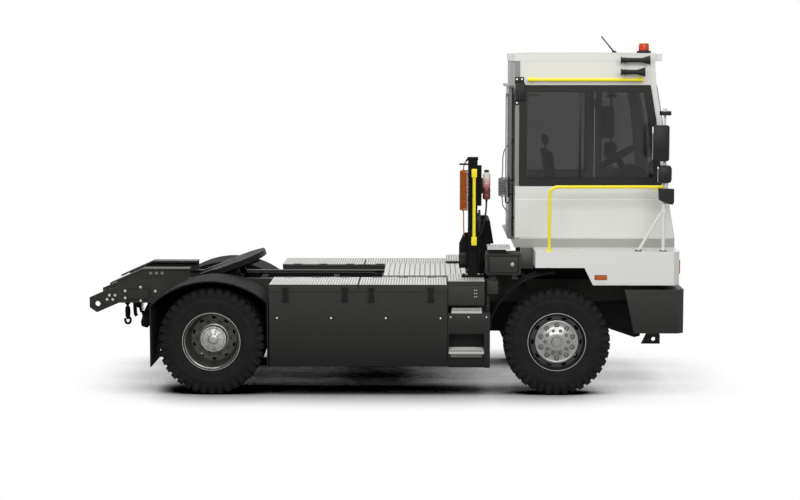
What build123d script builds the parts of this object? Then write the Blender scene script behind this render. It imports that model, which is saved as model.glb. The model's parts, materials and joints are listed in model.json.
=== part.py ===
from build123d import *
import os
from math import acos, cos, degrees, pi, radians, sin

os.makedirs("parts", exist_ok=True)

# Electric terminal tractor. X points forward, Y to the left, Z up, ground at Z = 0. Millimetres.
WHEELBASE = 3500.0
REAR_OVERHANG = 1370.0
FRONT_OVERHANG = 1270.0
TAIL_X = -(REAR_OVERHANG + WHEELBASE + FRONT_OVERHANG) / 2
NOSE_X = -TAIL_X
REAR_AXLE_X = TAIL_X + REAR_OVERHANG
FRONT_AXLE_X = REAR_AXLE_X + WHEELBASE

# Across: the rails stand inside the twin tyres, and the twin tyres set the width of the body.
RAIL_OUT = 430.0
TYRE_HALF = 148.0
DUAL_GAP = 34.0
TYRE_TO_RAIL = 164.0
TYRE_TO_BODY = 30.0
DUAL_STEP = 2 * TYRE_HALF + DUAL_GAP
DUAL_INNER_Y = RAIL_OUT + TYRE_TO_RAIL + TYRE_HALF
DUAL_OUTER_Y = DUAL_INNER_Y + DUAL_STEP
DUAL_MID_Y = (DUAL_INNER_Y + DUAL_OUTER_Y) / 2
BODY_HALF = DUAL_OUTER_Y + TYRE_HALF + TYRE_TO_BODY
FRONT_TYRE_Y = BODY_HALF - TYRE_HALF - 50

# Up: the frame clears the tyres, and everything above is counted from the frame's top.
TYRE_R = 540.0
TYRE_TO_FRAME = 16.0
AXLE_Z = TYRE_R
RAIL_TOP = 2 * TYRE_R + TYRE_TO_FRAME

# Gaps that are used over and over: at a bearing face, at a running pin, round a moving panel.
SEAT = 0.3
RUN = 0.08
CLEAR = 8.0
BAR_SIDES = 12
BEND_SIDES = 8


def block(x0, x1, y0, y1, z0, z1):
    """A box between two corners."""
    return Pos((x0 + x1) / 2, (y0 + y1) / 2, (z0 + z1) / 2) * Box(x1 - x0, y1 - y0, z1 - z0)


def side_plate(points, y0, y1):
    """An outline in X and Z pulled along Y."""
    face = make_face(Plane.XZ * Polyline(*points, close=True))
    return Pos(0, y0, 0) * extrude(face, amount=y1 - y0, dir=(0, 1, 0))


def plan_plate(points, z0, z1):
    """An outline in X and Y pulled up along Z."""
    face = make_face(Polyline(*points, close=True))
    return Pos(0, 0, z0) * extrude(face, amount=z1 - z0, dir=(0, 0, 1))


def end_plate(points, x0, x1):
    """An outline in Y and Z pulled along X."""
    face = make_face(Plane.YZ * Polyline(*points, close=True))
    return Pos(x0, 0, 0) * extrude(face, amount=x1 - x0, dir=(1, 0, 0))


def pin(start, end, radius):
    """A round pin, bore or rod from one point to another."""
    run = Vector(*end) - Vector(*start)
    seat = (Align.CENTER, Align.CENTER, Align.MIN)
    return Plane(origin=start, z_dir=run) * Cylinder(radius, run.length, align=seat)


def bore(start, end, radius):
    """A flat-sided hole that a pin of the given radius runs in."""
    run = Vector(*end) - Vector(*start)
    outline = RegularPolygon(radius + RUN, BAR_SIDES, major_radius=False)
    return extrude(Plane(origin=start, z_dir=run) * outline, amount=run.length)


def cross_bore(x, z, y0, y1, radius):
    """A flat-sided hole along Y."""
    return bore((x, y0, z), (x, y1, z), radius)


def cross_pin(x, z, y0, y1, radius):
    """A round pin along Y."""
    return pin((x, y0, z), (x, y1, z), radius)


def bar(start, end, radius, sides=BAR_SIDES):
    """A slim bar from one point to another, drawn with flat sides."""
    run = Vector(*end) - Vector(*start)
    return extrude(Plane(origin=start, z_dir=run) * RegularPolygon(radius, sides), amount=run.length)


def bent_bar(points, radius, bends):
    """A slim bar along straight runs with tangent bends."""
    path = FilletPolyline(*points, radius=bends)
    return sweep(Plane(origin=path @ 0, z_dir=path % 0) * RegularPolygon(radius, BEND_SIDES), path=path)


def ring_points(radius, z, sides, flats):
    """Corners of a regular outline with a flat side straight down; the radius is to its flats or to its corners."""
    reach = radius / cos(pi / sides) if flats else radius
    turns = [radians(90 - 180 / sides + 360 * n / sides) for n in range(sides)]
    return [(reach * cos(a), reach * sin(a), z) for a in turns]


def frustum(r0, z0, r1, z1, sides, flats=False):
    """A many-sided drum or cone round Z, with flat faces."""
    low = ring_points(r0, z0, sides, flats)
    high = ring_points(r1, z1, sides, flats)
    outlines = [low[::-1], high]
    for n in range(sides):
        after = (n + 1) % sides
        outlines.append([low[n], low[after], high[after], high[n]])
    return Part() + Solid(Shell([Face(Wire.make_polygon(outline, close=True)) for outline in outlines]))


def both(part):
    """A piece together with its twin on the other side of the vehicle."""
    return part + mirror(part, Plane.XZ)


def save(name, part):
    export_step(part, f"parts/{name}.step")


# Frame rails: two channels that taper at the tail.
RAIL_FLANGE = 80.0
RAIL_WALL = 10.0
RAIL_DEEP = 260.0
RAIL_BOTTOM = RAIL_TOP - RAIL_DEEP
RAIL_IN = RAIL_OUT - RAIL_FLANGE
RAIL_TAIL_X = TAIL_X + 300.0
RAIL_NOSE_X = NOSE_X - 190.0
RAIL_SLOPE_X = RAIL_TAIL_X + 310.0
RAIL_TAIL_TOP = RAIL_TOP - 96.0
CAB_RISE = 371.0
CAB_FLOOR_Z = RAIL_TOP + CAB_RISE
CAB_REAR_X = FRONT_AXLE_X - 420.0

web = RAIL_OUT - RAIL_WALL
channel = [(RAIL_OUT, RAIL_BOTTOM), (RAIL_OUT, RAIL_TOP), (RAIL_IN, RAIL_TOP), (RAIL_IN, RAIL_TOP - RAIL_WALL),
           (web, RAIL_TOP - RAIL_WALL), (web, RAIL_BOTTOM + RAIL_WALL), (RAIL_IN, RAIL_BOTTOM + RAIL_WALL),
           (RAIL_IN, RAIL_BOTTOM)]
rail = end_plate(channel, RAIL_TAIL_X, RAIL_NOSE_X)
rail -= side_plate([(RAIL_TAIL_X - 1, RAIL_TAIL_TOP), (RAIL_SLOPE_X, RAIL_TOP), (RAIL_SLOPE_X, RAIL_TOP + 9),
                    (RAIL_TAIL_X - 1, RAIL_TOP + 9)], 0, RAIL_OUT + 9)
save("frame_rails", both(rail))

# Lift boom and its cylinders: where they pivot. The cylinders stand between the boom's arms.
BOOM_PIVOT_X = REAR_AXLE_X + 1600.0
BOOM_PIVOT_Z = RAIL_TOP - 81.0
BOOM_PIN_R = 30.0
BOOM_TO_RAIL = 65.0
BOOM_OUT = RAIL_IN - BOOM_TO_RAIL
BOOM_WALL = 60.0
BOOM_DEEP = 135.0
BOOM_TOP = RAIL_TOP - 11.0
BOOM_BOTTOM = BOOM_TOP - BOOM_DEEP
BOOM_REST_X = REAR_AXLE_X + 380.0
COUPLER_X = REAR_AXLE_X + 150.0
COUPLER_Z = RAIL_TOP + 42.0
COUPLER_PIN_R = 28.0
LUG_WALL = 30.0
LUG_GAP = 6.0
RAM_Y = BOOM_OUT - BOOM_WALL - 75.0
RAM_BASE_X = REAR_AXLE_X + 940.0
RAM_BASE_Z = RAIL_BOTTOM - 276.0
RAM_EYE_X = REAR_AXLE_X + 800.0
RAM_EYE_Z = BOOM_TOP - 85.0
RAM_PIN_R = 20.0
RAM_EYE_WIDE = 50.0
RAM_CHEEK = 14.0
RAM_CHEEK_GAP = 5.0

# Cross members between the rails, and the posts that carry the cab. Members: x of the rear face, length, bottom, top.
TOW_WALL = 24.0
CROSS_MEMBERS = [
    (REAR_AXLE_X - 460, 80, RAIL_BOTTOM + RAIL_WALL, RAIL_BOTTOM + 90),
    (FRONT_AXLE_X - 420, 80, RAIL_BOTTOM + 30, RAIL_TOP - 30),
    (FRONT_AXLE_X + 420, 80, RAIL_BOTTOM + 30, RAIL_TOP - 30),
    (RAIL_NOSE_X - 60, 60, RAIL_BOTTOM + RAIL_WALL, RAIL_TOP - RAIL_WALL)]
tail_reach = web - TOW_WALL
members = block(RAIL_TAIL_X + 60, RAIL_TAIL_X + 140, -tail_reach, tail_reach, RAIL_BOTTOM + 20, RAIL_BOTTOM + 130)
for rear, long, low, high in CROSS_MEMBERS:
    members += block(rear, rear + long, -web, web, low, high)
CAB_POST = 50.0
for x in (CAB_REAR_X + 120, RAIL_NOSE_X - 120):
    members += both(block(x - CAB_POST, x + CAB_POST, RAIL_IN + 10, RAIL_OUT, RAIL_TOP, CAB_FLOOR_Z))

# The member under the boom has two rests for the lowered arms.
rest_member = block(BOOM_REST_X - 40, BOOM_REST_X + 40, -web, web, RAIL_BOTTOM + RAIL_WALL, RAIL_BOTTOM + 90)
arm_mid = BOOM_OUT - BOOM_WALL / 2
rest_member += both(block(BOOM_REST_X - 40, BOOM_REST_X + 40, arm_mid - 25, arm_mid + 25, RAIL_BOTTOM + 80,
                          BOOM_BOTTOM - SEAT))
members += rest_member

# The boom's carrier: a member with one lug outside each arm and the pivot pin through both.
lug_in = BOOM_OUT + LUG_GAP
carrier = block(BOOM_PIVOT_X + 95, BOOM_PIVOT_X + 185, -web, web, RAIL_BOTTOM + 20, RAIL_TOP - 20)
carrier += both(side_plate([(BOOM_PIVOT_X - 60, BOOM_PIVOT_Z - 60), (BOOM_PIVOT_X + 100, BOOM_PIVOT_Z - 80),
                            (BOOM_PIVOT_X + 100, BOOM_PIVOT_Z + 55), (BOOM_PIVOT_X - 30, BOOM_PIVOT_Z + 60)],
                           lug_in, lug_in + LUG_WALL))
carrier += cross_pin(BOOM_PIVOT_X, BOOM_PIVOT_Z, -lug_in - LUG_WALL, lug_in + LUG_WALL, BOOM_PIN_R)
members += carrier

# The cylinders' carrier hangs under the rails, with two cheeks and a pin for each cylinder foot.
hang_x0 = RAM_BASE_X + 60
hang_x1 = RAM_BASE_X + 140
ram_carrier = block(hang_x0, hang_x1, -RAIL_IN, RAIL_IN, RAM_BASE_Z + 90, RAIL_BOTTOM)
ram_carrier += both(block(hang_x0, hang_x1, RAIL_IN - 5, RAIL_OUT, RAM_BASE_Z + 90, RAIL_BOTTOM))
cheek_outline = [(RAM_BASE_X - 38, RAM_BASE_Z - 38), (RAM_BASE_X + 30, RAM_BASE_Z - 38),
                 (hang_x1 - 20, RAM_BASE_Z + 100), (hang_x1 - 20, RAM_BASE_Z + 190), (hang_x0 + 2, RAM_BASE_Z + 190),
                 (RAM_BASE_X + 20, RAM_BASE_Z + 45), (RAM_BASE_X - 38, RAM_BASE_Z + 30)]
cheek_near = RAM_EYE_WIDE / 2 + RAM_CHEEK_GAP
cheek_far = cheek_near + RAM_CHEEK
for side in (1, -1):
    mid = side * RAM_Y
    ram_carrier += side_plate(cheek_outline, mid + cheek_near, mid + cheek_far)
    ram_carrier += side_plate(cheek_outline, mid - cheek_far, mid - cheek_near)
    ram_carrier += cross_pin(RAM_BASE_X, RAM_BASE_Z, mid - cheek_far, mid + cheek_far, RAM_PIN_R)
members += ram_carrier
save("cross_members", members)

# Tail plates: tow plates inside the rails with the recovery hole, and sloping ramps on top of the rails.
TOW_HOLE_R = 27.0
TOW_HOLE_X = TAIL_X + 86.0
TOW_HOLE_Z = RAIL_BOTTOM - 11.0
RAMP_TOP = RAIL_TOP + 105.0
RAMP_TAIL_X = RAIL_TAIL_X - 80.0
RAMP_FLAT_X = RAIL_TAIL_X + 270.0
RAMP_FRONT_X = REAR_AXLE_X - 310.0
RAMP_SKIN = 16.0
RAMP_WEB = 20.0

tow = side_plate([(TAIL_X, RAIL_BOTTOM + 56), (TAIL_X + 203, RAIL_TAIL_TOP - 19), (RAIL_TAIL_X - 2, RAIL_TAIL_TOP),
                  (RAIL_TAIL_X - 2, RAIL_TAIL_TOP - 15), (RAIL_TAIL_X + 160, RAIL_TAIL_TOP - 15),
                  (RAIL_TAIL_X + 160, RAIL_BOTTOM + 14), (RAIL_TAIL_X - 2, RAIL_BOTTOM + 14),
                  (RAIL_TAIL_X - 2, RAIL_BOTTOM - 7), (TAIL_X + 77, RAIL_BOTTOM - 103), (TAIL_X, RAIL_BOTTOM - 50)],
                 web - TOW_WALL, web)
tow -= cross_pin(TOW_HOLE_X, TOW_HOLE_Z, web - TOW_WALL - 9, web + 9, TOW_HOLE_R)
ramp_top = [(RAMP_TAIL_X, RAIL_TOP - 50), (RAMP_FLAT_X, RAMP_TOP), (RAMP_FRONT_X, RAMP_TOP)]
ramp_under = [(x, z - RAMP_SKIN) for x, z in ramp_top]
ramp = side_plate(ramp_top + ramp_under[::-1], RAIL_IN - 60, RAIL_OUT + 10)
ramp += side_plate([(RAIL_TAIL_X, RAIL_TAIL_TOP + 1), (RAIL_SLOPE_X, RAIL_TOP + SEAT), (RAMP_FRONT_X, RAIL_TOP + SEAT),
                    (RAMP_FRONT_X, RAMP_TOP - 5), (RAMP_FLAT_X, RAMP_TOP - 5), (RAIL_TAIL_X, RAIL_TOP - 21)],
                   web - RAMP_WEB, web)
save("tail_plates", both(tow) + both(ramp))

# Couplings that hang under the tail: x, y, drop to the lower end.
COUPLINGS = [(RAIL_TAIL_X + 40, 120, 250), (RAIL_TAIL_X + 180, 40, 330), (RAIL_TAIL_X + 310, -120, 200)]
COUPLING_R = 16.0
GLAND_R = 30.0
GLAND_LONG = 60.0
hangers = block(RAIL_TAIL_X - 10, RAIL_TAIL_X + 370, -160, 160, RAIL_BOTTOM - 14, RAIL_BOTTOM - 2)
hangers += block(RAIL_TAIL_X + 60, RAIL_TAIL_X + 140, -160, 160, RAIL_BOTTOM - 10, RAIL_BOTTOM + 20)
for x, y, drop in COUPLINGS:
    low = RAIL_BOTTOM - drop
    hangers += bar((x, y, RAIL_BOTTOM - 10), (x, y, low + GLAND_LONG), COUPLING_R)
    hangers += bar((x, y, low + GLAND_LONG), (x + 20, y, low), GLAND_R)
save("tail_couplings", hangers)

# Tyre: a drum with sloping shoulders, hollow sides and a ring of blocks cut across the tread.
LUGS = 20
LUG_TALL = 18.0
LUG_HALF = 42.0
LUG_EDGE = 128.0
TREAD_HALF = 122.0
SIDE_HALF = TYRE_HALF - 2.0
SHOULDER_R = TYRE_R - 85.0
HOLLOW_R = TYRE_R - 140.0
BEAD_R = 287.0
BEAD_HALF = 108.0
base_r = TYRE_R - LUG_TALL
half_tyre = frustum(base_r, 0, base_r, TREAD_HALF, LUGS, True)
half_tyre += frustum(base_r, TREAD_HALF, SHOULDER_R, SIDE_HALF, LUGS, True)
half_tyre -= frustum(BEAD_R + SEAT, BEAD_HALF, HOLLOW_R, SIDE_HALF, LUGS, True)
tyre = half_tyre + mirror(half_tyre, Plane.XY)
tyre -= frustum(BEAD_R + SEAT, -TYRE_HALF, BEAD_R + SEAT, TYRE_HALF, LUGS, True)
half_lug = [(SHOULDER_R - 20, SIDE_HALF - 8), (SHOULDER_R + 5, TYRE_HALF), (TYRE_R, LUG_EDGE)]
lug_outline = half_lug + [(r, -along) for r, along in half_lug[::-1]]
lug = side_plate(lug_outline, -LUG_HALF, LUG_HALF)
tyre += [Rot(Z=90 + 360 * n / LUGS) * lug for n in range(LUGS)]

# Rims: a band with an outer lip, a dished disc with a ring of hand holes, and a hub bored for its spindle.
RIM_SIDES = LUGS
RIM_SKIN = 10.0
RIM_LIP = 11.0
LIP_LONG = 12.0
DISC_SKIN = 14.0
HUB_FACE_R = 217.0
HAND_HOLES = 10
HAND_HOLE_SIDES = 6
HAND_HOLE_R = 0.3 * (BEAD_R - HUB_FACE_R)
SPINDLE_R = 55.0
HUB_R = 110.0
HUB_SIDES = 12
LIP_AT = BEAD_HALF + 4.5
LIP_END = LIP_AT + LIP_LONG


def rim(seat_at, face_at):
    """A band with its disc; the disc leaves the band at seat_at and is flat at face_at."""
    band = frustum(BEAD_R, -BEAD_HALF, BEAD_R, LIP_AT, RIM_SIDES, True)
    band += frustum(BEAD_R + RIM_LIP, LIP_AT, BEAD_R + RIM_LIP, LIP_END, RIM_SIDES, True)
    band -= frustum(BEAD_R - RIM_SKIN, -BEAD_HALF - 1, BEAD_R - RIM_SKIN, LIP_END + 1, RIM_SIDES, True)
    rim_r = BEAD_R - RIM_SKIN + 4
    if face_at > seat_at:
        dish = frustum(rim_r, seat_at, HUB_FACE_R, face_at, RIM_SIDES, True)
        dish -= frustum(rim_r - DISC_SKIN, seat_at - 1, HUB_FACE_R - DISC_SKIN, face_at - DISC_SKIN, RIM_SIDES, True)
    else:
        dish = frustum(HUB_FACE_R, face_at, rim_r, seat_at, RIM_SIDES, True)
        dish -= frustum(HUB_FACE_R - DISC_SKIN, face_at + DISC_SKIN, rim_r - DISC_SKIN, seat_at + 1, RIM_SIDES, True)
    hole = extrude(Pos(0, 0, min(seat_at, face_at) - 9) * RegularPolygon(HAND_HOLE_R, HAND_HOLE_SIDES),
                   amount=abs(face_at - seat_at) + 18)
    ring = (HUB_FACE_R + rim_r) / 2
    return band + (dish - [place * hole for place in PolarLocations(ring, HAND_HOLES)])


FRONT_FACE = BEAD_HALF - 10.0
CAP_R = 55.0
SPINDLE_END = 60.0
HUB_BACK = -60.0
front_wheel = rim(BEAD_HALF - 60, FRONT_FACE)
front_wheel += frustum(CAP_R, FRONT_FACE - 5, CAP_R, FRONT_FACE + 32, HUB_SIDES)
front_wheel += frustum(HUB_R, HUB_BACK, HUB_R, FRONT_FACE - 5, HUB_SIDES)
front_wheel -= bore((0, 0, HUB_BACK - 1), (0, 0, SPINDLE_END + 28), SPINDLE_R)

# The twin rims stand disc to disc on one hub, which ends in the drum of the hub gear.
DUAL_HALF_STEP = DUAL_STEP / 2
HUB_GEAR_R = 135.0
HUB_GEAR_END = 130.0
DUAL_HUB_BACK = -150.0
DUAL_SPINDLE_END = 35.0
one_dual = Pos(0, 0, DUAL_HALF_STEP) * rim(-40, -DUAL_HALF_STEP)
dual_wheel = one_dual + mirror(one_dual, Plane.XY)
dual_wheel += frustum(HUB_R, DUAL_HUB_BACK, HUB_R, 12, HUB_SIDES)
dual_wheel += frustum(HUB_GEAR_R, 10, HUB_GEAR_R, HUB_GEAR_END - 40, HUB_SIDES)
dual_wheel += frustum(HUB_GEAR_R, HUB_GEAR_END - 40, HUB_GEAR_R - 50, HUB_GEAR_END, HUB_SIDES)
dual_wheel -= bore((0, 0, DUAL_HUB_BACK - 1), (0, 0, DUAL_SPINDLE_END + 15), SPINDLE_R)

# Wheel places: end of the vehicle, x, tyre centres along Y, wheel, wheel centre along Y.
WHEELS = [("front", FRONT_AXLE_X, (FRONT_TYRE_Y,), front_wheel, FRONT_TYRE_Y),
          ("rear", REAR_AXLE_X, (DUAL_INNER_Y, DUAL_OUTER_Y), dual_wheel, DUAL_MID_Y)]
for end, x, centres, wheel, wheel_y in WHEELS:
    for name, side in (("right", -1), ("left", 1)):
        turn = Rot(X=-90 * side)
        tyres = Part() + [Pos(x, side * y, AXLE_Z) * turn * tyre for y in centres]
        save(f"tyre_{end}_{name}", tyres)
        save(f"wheel_{end}_{name}", Pos(x, side * wheel_y, AXLE_Z) * turn * wheel)

# Rear axle with its saddles under the rails.
AXLE_TUBE_R = 80.0
DIFF_R = 200.0
DIFF_WIDE = 240.0
NOSE_R = 95.0
NOSE_LONG = 300.0
SADDLE = 130.0
tube_end = DUAL_MID_Y + DUAL_HUB_BACK - 2
rear_axle = bar((REAR_AXLE_X, -tube_end, AXLE_Z), (REAR_AXLE_X, tube_end, AXLE_Z), AXLE_TUBE_R, HUB_SIDES)
spindle_end = DUAL_MID_Y + DUAL_SPINDLE_END
rear_axle += both(cross_pin(REAR_AXLE_X, AXLE_Z, tube_end - 20, spindle_end, SPINDLE_R))
rear_axle += bar((REAR_AXLE_X, -DIFF_WIDE / 2, AXLE_Z), (REAR_AXLE_X, DIFF_WIDE / 2, AXLE_Z), DIFF_R, RIM_SIDES)
rear_axle += bar((REAR_AXLE_X, 0, AXLE_Z), (REAR_AXLE_X + NOSE_LONG, 0, AXLE_Z), NOSE_R, HUB_SIDES)
saddle_y = RAIL_OUT - RAIL_FLANGE / 2
rear_axle += both(block(REAR_AXLE_X - SADDLE, REAR_AXLE_X + SADDLE, saddle_y - 45, saddle_y + 45, AXLE_Z, RAIL_BOTTOM))
save("rear_axle", rear_axle)

# Drive unit: the motor's block under the frame, hung from the rails, with its shaft to the axle.
MOTOR_REAR_X = REAR_AXLE_X + 1280.0
MOTOR_LONG = 820.0
MOTOR_HALF = 250.0
MOTOR_TOP = RAIL_BOTTOM - 46.0
drive = block(MOTOR_REAR_X, MOTOR_REAR_X + MOTOR_LONG, -MOTOR_HALF, MOTOR_HALF, AXLE_Z - 140, MOTOR_TOP)
drive += both(block(MOTOR_REAR_X + 300, MOTOR_REAR_X + 420, MOTOR_HALF - 10, RAIL_OUT, MOTOR_TOP - 30, RAIL_BOTTOM))
drive += bar((REAR_AXLE_X + NOSE_LONG, 0, AXLE_Z), (MOTOR_REAR_X + 10, 0, AXLE_Z), 45)
save("drive_unit", drive)

# Front axle: a beam that rises to the king pins, with pads for the springs.
KING_PIN_Y = FRONT_TYRE_Y - 217.0
KING_PIN_R = 24.0
KING_PIN_LONG = 210.0
BEAM_HALF = 55.0
BEAM_Z = AXLE_Z - 60.0
BEAM_END = KING_PIN_Y - 195.0
FIST = 45.0
SPRING_PAD_Z = AXLE_Z + 40.0
SPRING_Y = RAIL_OUT - 30.0
SPRING_HALF_WIDE = 40.0
beam = block(FRONT_AXLE_X - BEAM_HALF, FRONT_AXLE_X + BEAM_HALF, -BEAM_END, BEAM_END, BEAM_Z - BEAM_HALF,
             BEAM_Z + BEAM_HALF)
beam += both(block(FRONT_AXLE_X - 48, FRONT_AXLE_X + 48, BEAM_END - 10, BEAM_END + 85, BEAM_Z - 50, AXLE_Z + FIST))
beam += both(block(FRONT_AXLE_X - FIST, FRONT_AXLE_X + FIST, BEAM_END + 80, KING_PIN_Y + 40, AXLE_Z - FIST,
                   AXLE_Z + FIST))
beam += both(pin((FRONT_AXLE_X, KING_PIN_Y, AXLE_Z - KING_PIN_LONG / 2),
                 (FRONT_AXLE_X, KING_PIN_Y, AXLE_Z + KING_PIN_LONG / 2), KING_PIN_R))
beam += both(block(FRONT_AXLE_X - 60, FRONT_AXLE_X + 60, SPRING_Y - SPRING_HALF_WIDE, SPRING_Y + SPRING_HALF_WIDE,
                   BEAM_Z + BEAM_HALF - 5, SPRING_PAD_Z))
save("front_axle", beam)

# Leaf springs: a pack that thins toward its ends, hung from a hanger at each end.
SPRING_HALF = 720.0
half_spring = [(SPRING_HALF, 110), (400, 52), (0, 32)]
half_under = [(200, 0), (380, 18), (SPRING_HALF, 88)]
spring_line = ([(-x, z) for x, z in half_spring] + half_spring[1::-1] + half_under[::-1]
               + [(-x, z) for x, z in half_under])
springs = side_plate([(FRONT_AXLE_X + x, SPRING_PAD_Z + z) for x, z in spring_line], SPRING_Y - SPRING_HALF_WIDE,
                     SPRING_Y + SPRING_HALF_WIDE)
for end in (-1, 1):
    x = FRONT_AXLE_X + end * SPRING_HALF
    springs += block(x - 30, x + 30, SPRING_Y - 30, SPRING_Y + 30, SPRING_PAD_Z + 60, RAIL_BOTTOM)
save("leaf_springs", both(springs))

# Knuckle, drawn on the left side: a yoke round the axle's fist, the wheel spindle and the steering arm.
ARM_X = FRONT_AXLE_X - 260.0
ARM_Z = AXLE_Z - 130.0
ARM_HALF = 20.0
KNUCKLE_GAP = 3.0
YOKE_TOP = AXLE_Z + 95.0
YOKE_LOW = AXLE_Z - 95.0
YOKE_BACK = KING_PIN_Y + 62.0
YOKE_FACE = KING_PIN_Y + 95.0
BALL_R = 16.0
EYE_R = 30.0
TIE_R = 16.0
yoke = block(FRONT_AXLE_X - 50, FRONT_AXLE_X + 50, KING_PIN_Y - 45, YOKE_FACE, YOKE_LOW, YOKE_TOP)
yoke -= block(FRONT_AXLE_X - 51, FRONT_AXLE_X + 51, KING_PIN_Y - 46, YOKE_BACK, AXLE_Z - FIST - KNUCKLE_GAP,
              AXLE_Z + FIST + KNUCKLE_GAP)
yoke -= bore((FRONT_AXLE_X, KING_PIN_Y, YOKE_LOW - 9), (FRONT_AXLE_X, KING_PIN_Y, YOKE_TOP + 9), KING_PIN_R)
yoke += cross_pin(FRONT_AXLE_X, AXLE_Z, YOKE_FACE - 15, FRONT_TYRE_Y + SPINDLE_END, SPINDLE_R)
yoke += block(ARM_X - 24, FRONT_AXLE_X - 30, KING_PIN_Y - ARM_HALF, KING_PIN_Y + ARM_HALF, ARM_Z + 14, YOKE_LOW + 10)
yoke += pin((ARM_X, KING_PIN_Y, ARM_Z - 22), (ARM_X, KING_PIN_Y, ARM_Z + 20), BALL_R)
save("knuckle_left", yoke)
save("knuckle_right", mirror(yoke, Plane.XZ))

# Tie rod between the two steering arms, with an eye on each ball pin.
tie = bar((ARM_X, -KING_PIN_Y + 20, ARM_Z - 8), (ARM_X, KING_PIN_Y - 20, ARM_Z - 8), TIE_R)
tie += both(bar((ARM_X, KING_PIN_Y, ARM_Z - 18), (ARM_X, KING_PIN_Y, ARM_Z + 6), EYE_R))
tie -= both(bore((ARM_X, KING_PIN_Y, ARM_Z - 60), (ARM_X, KING_PIN_Y, ARM_Z + 60), BALL_R))
save("tie_rod", tie)

# Lift boom: two arms with cross pieces, bored for the pivot, and the pin that carries the fifth wheel.
COUPLER_BOSS_R = 44.0
PIVOT_BOSS_R = 70.0
arm_in = BOOM_OUT - BOOM_WALL
arm = side_plate([(BOOM_PIVOT_X, BOOM_BOTTOM), (BOOM_PIVOT_X + 70, BOOM_BOTTOM + 30), (BOOM_PIVOT_X + 70, BOOM_TOP - 30),
                  (BOOM_PIVOT_X, BOOM_TOP), (COUPLER_X + 90, BOOM_TOP), (COUPLER_X + COUPLER_BOSS_R, COUPLER_Z + 30),
                  (COUPLER_X, COUPLER_Z + COUPLER_BOSS_R), (COUPLER_X - COUPLER_BOSS_R, COUPLER_Z + 15),
                  (COUPLER_X - 60, BOOM_BOTTOM + 30), (COUPLER_X + 20, BOOM_BOTTOM)], arm_in, BOOM_OUT)
boom = both(arm - cross_bore(BOOM_PIVOT_X, BOOM_PIVOT_Z, arm_in - 9, BOOM_OUT + 9, BOOM_PIN_R))
for x in (COUPLER_X + 260, BOOM_PIVOT_X - 420):
    boom += block(x, x + 60, -arm_in - 5, arm_in + 5, BOOM_BOTTOM + 15, BOOM_TOP - 15)
boom += block(COUPLER_X - 30, COUPLER_X + 60, -arm_in - 5, arm_in + 5, BOOM_BOTTOM + 20, COUPLER_Z - 60)
boom += cross_pin(RAM_EYE_X, RAM_EYE_Z, -arm_in - 5, arm_in + 5, RAM_PIN_R)
EAR_IN = BOOM_OUT + 8.0
EAR_WALL = 34.0
boom += both(cross_pin(COUPLER_X, COUPLER_Z, BOOM_OUT - 5, EAR_IN + EAR_WALL + 3, COUPLER_PIN_R))
save("lift_boom", boom)

# Lift cylinders: barrels on the carrier's pins, rods whose eyes ride on the boom's cross pin.
RAM_BARREL_R = 50.0
RAM_ROD_R = 30.0
RAM_BARREL_LONG = 395.0
RAM_FOOT_LONG = 75.0
RAM_EYE_R = 43.0
RAM_EYE_SLACK = 3.0
ram_foot = Vector(RAM_BASE_X, RAM_Y, RAM_BASE_Z)
ram_head = Vector(RAM_EYE_X, RAM_Y, RAM_EYE_Z)
ram_dir = (ram_head - ram_foot).normalized()
eye_near = RAM_Y - RAM_EYE_WIDE / 2
eye_far = RAM_Y + RAM_EYE_WIDE / 2
barrel = bar(tuple(ram_foot + ram_dir * (RAM_FOOT_LONG - 5)), tuple(ram_foot + ram_dir * RAM_BARREL_LONG), RAM_BARREL_R)
barrel += bar(tuple(ram_foot), tuple(ram_foot + ram_dir * RAM_FOOT_LONG), RAM_EYE_WIDE / 2 - 1)
barrel += bar((RAM_BASE_X, eye_near, RAM_BASE_Z), (RAM_BASE_X, eye_far, RAM_BASE_Z), RAM_EYE_R)
barrel -= cross_bore(RAM_BASE_X, RAM_BASE_Z, eye_near - 9, eye_far + 9, RAM_PIN_R)
barrel -= bore(tuple(ram_foot + ram_dir * (RAM_FOOT_LONG + 10)), tuple(ram_foot + ram_dir * (RAM_BARREL_LONG + 5)),
               RAM_ROD_R)
save("lift_barrels", both(barrel))
rod = pin(tuple(ram_foot + ram_dir * (RAM_FOOT_LONG + 17)), tuple(ram_head - ram_dir * 28), RAM_ROD_R)
rod += bar((RAM_EYE_X, eye_near, RAM_EYE_Z), (RAM_EYE_X, eye_far, RAM_EYE_Z), RAM_EYE_R)
rod -= cross_bore(RAM_EYE_X, RAM_EYE_Z, eye_near - 9, eye_far + 9, RAM_PIN_R + RAM_EYE_SLACK)
save("lift_rods", both(rod))

# Fifth wheel: a plate with a skirt, a rear throat that ends in the kingpin jaw, and two ears on the boom's pin.
PLATE_HALF = 450.0
PLATE_FRONT = 345.0
PLATE_REAR = 370.0
PLATE_TOP = 112.0
PLATE_SKIN = 30.0
PLATE_SKIRT = 60.0
PLATE_REST_TILT = 20.0
SKIRT_WALL = 26.0
KINGPIN_R = 25.5
half_plate = [(-PLATE_REAR, 110), (-PLATE_REAR, 235), (-215, 300), (-130, PLATE_HALF), (130, PLATE_HALF),
              (PLATE_FRONT - 110, 390), (PLATE_FRONT - 30, 260), (PLATE_FRONT, 110)]
plate_line = half_plate + [(x, -y) for x, y in half_plate[::-1]]
plate = plan_plate(plate_line, PLATE_TOP - PLATE_SKIRT, PLATE_TOP)
hollow = offset(make_face(Polyline(*plate_line, close=True)), -SKIRT_WALL, kind=Kind.INTERSECTION)
plate -= Pos(0, 0, PLATE_TOP - PLATE_SKIRT - 1) * extrude(hollow, amount=PLATE_SKIRT - PLATE_SKIN + 1)
half_throat = [(-PLATE_REAR - 9, 130), (-190, KINGPIN_R + 20), (-60, KINGPIN_R), (0, KINGPIN_R)]
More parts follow.
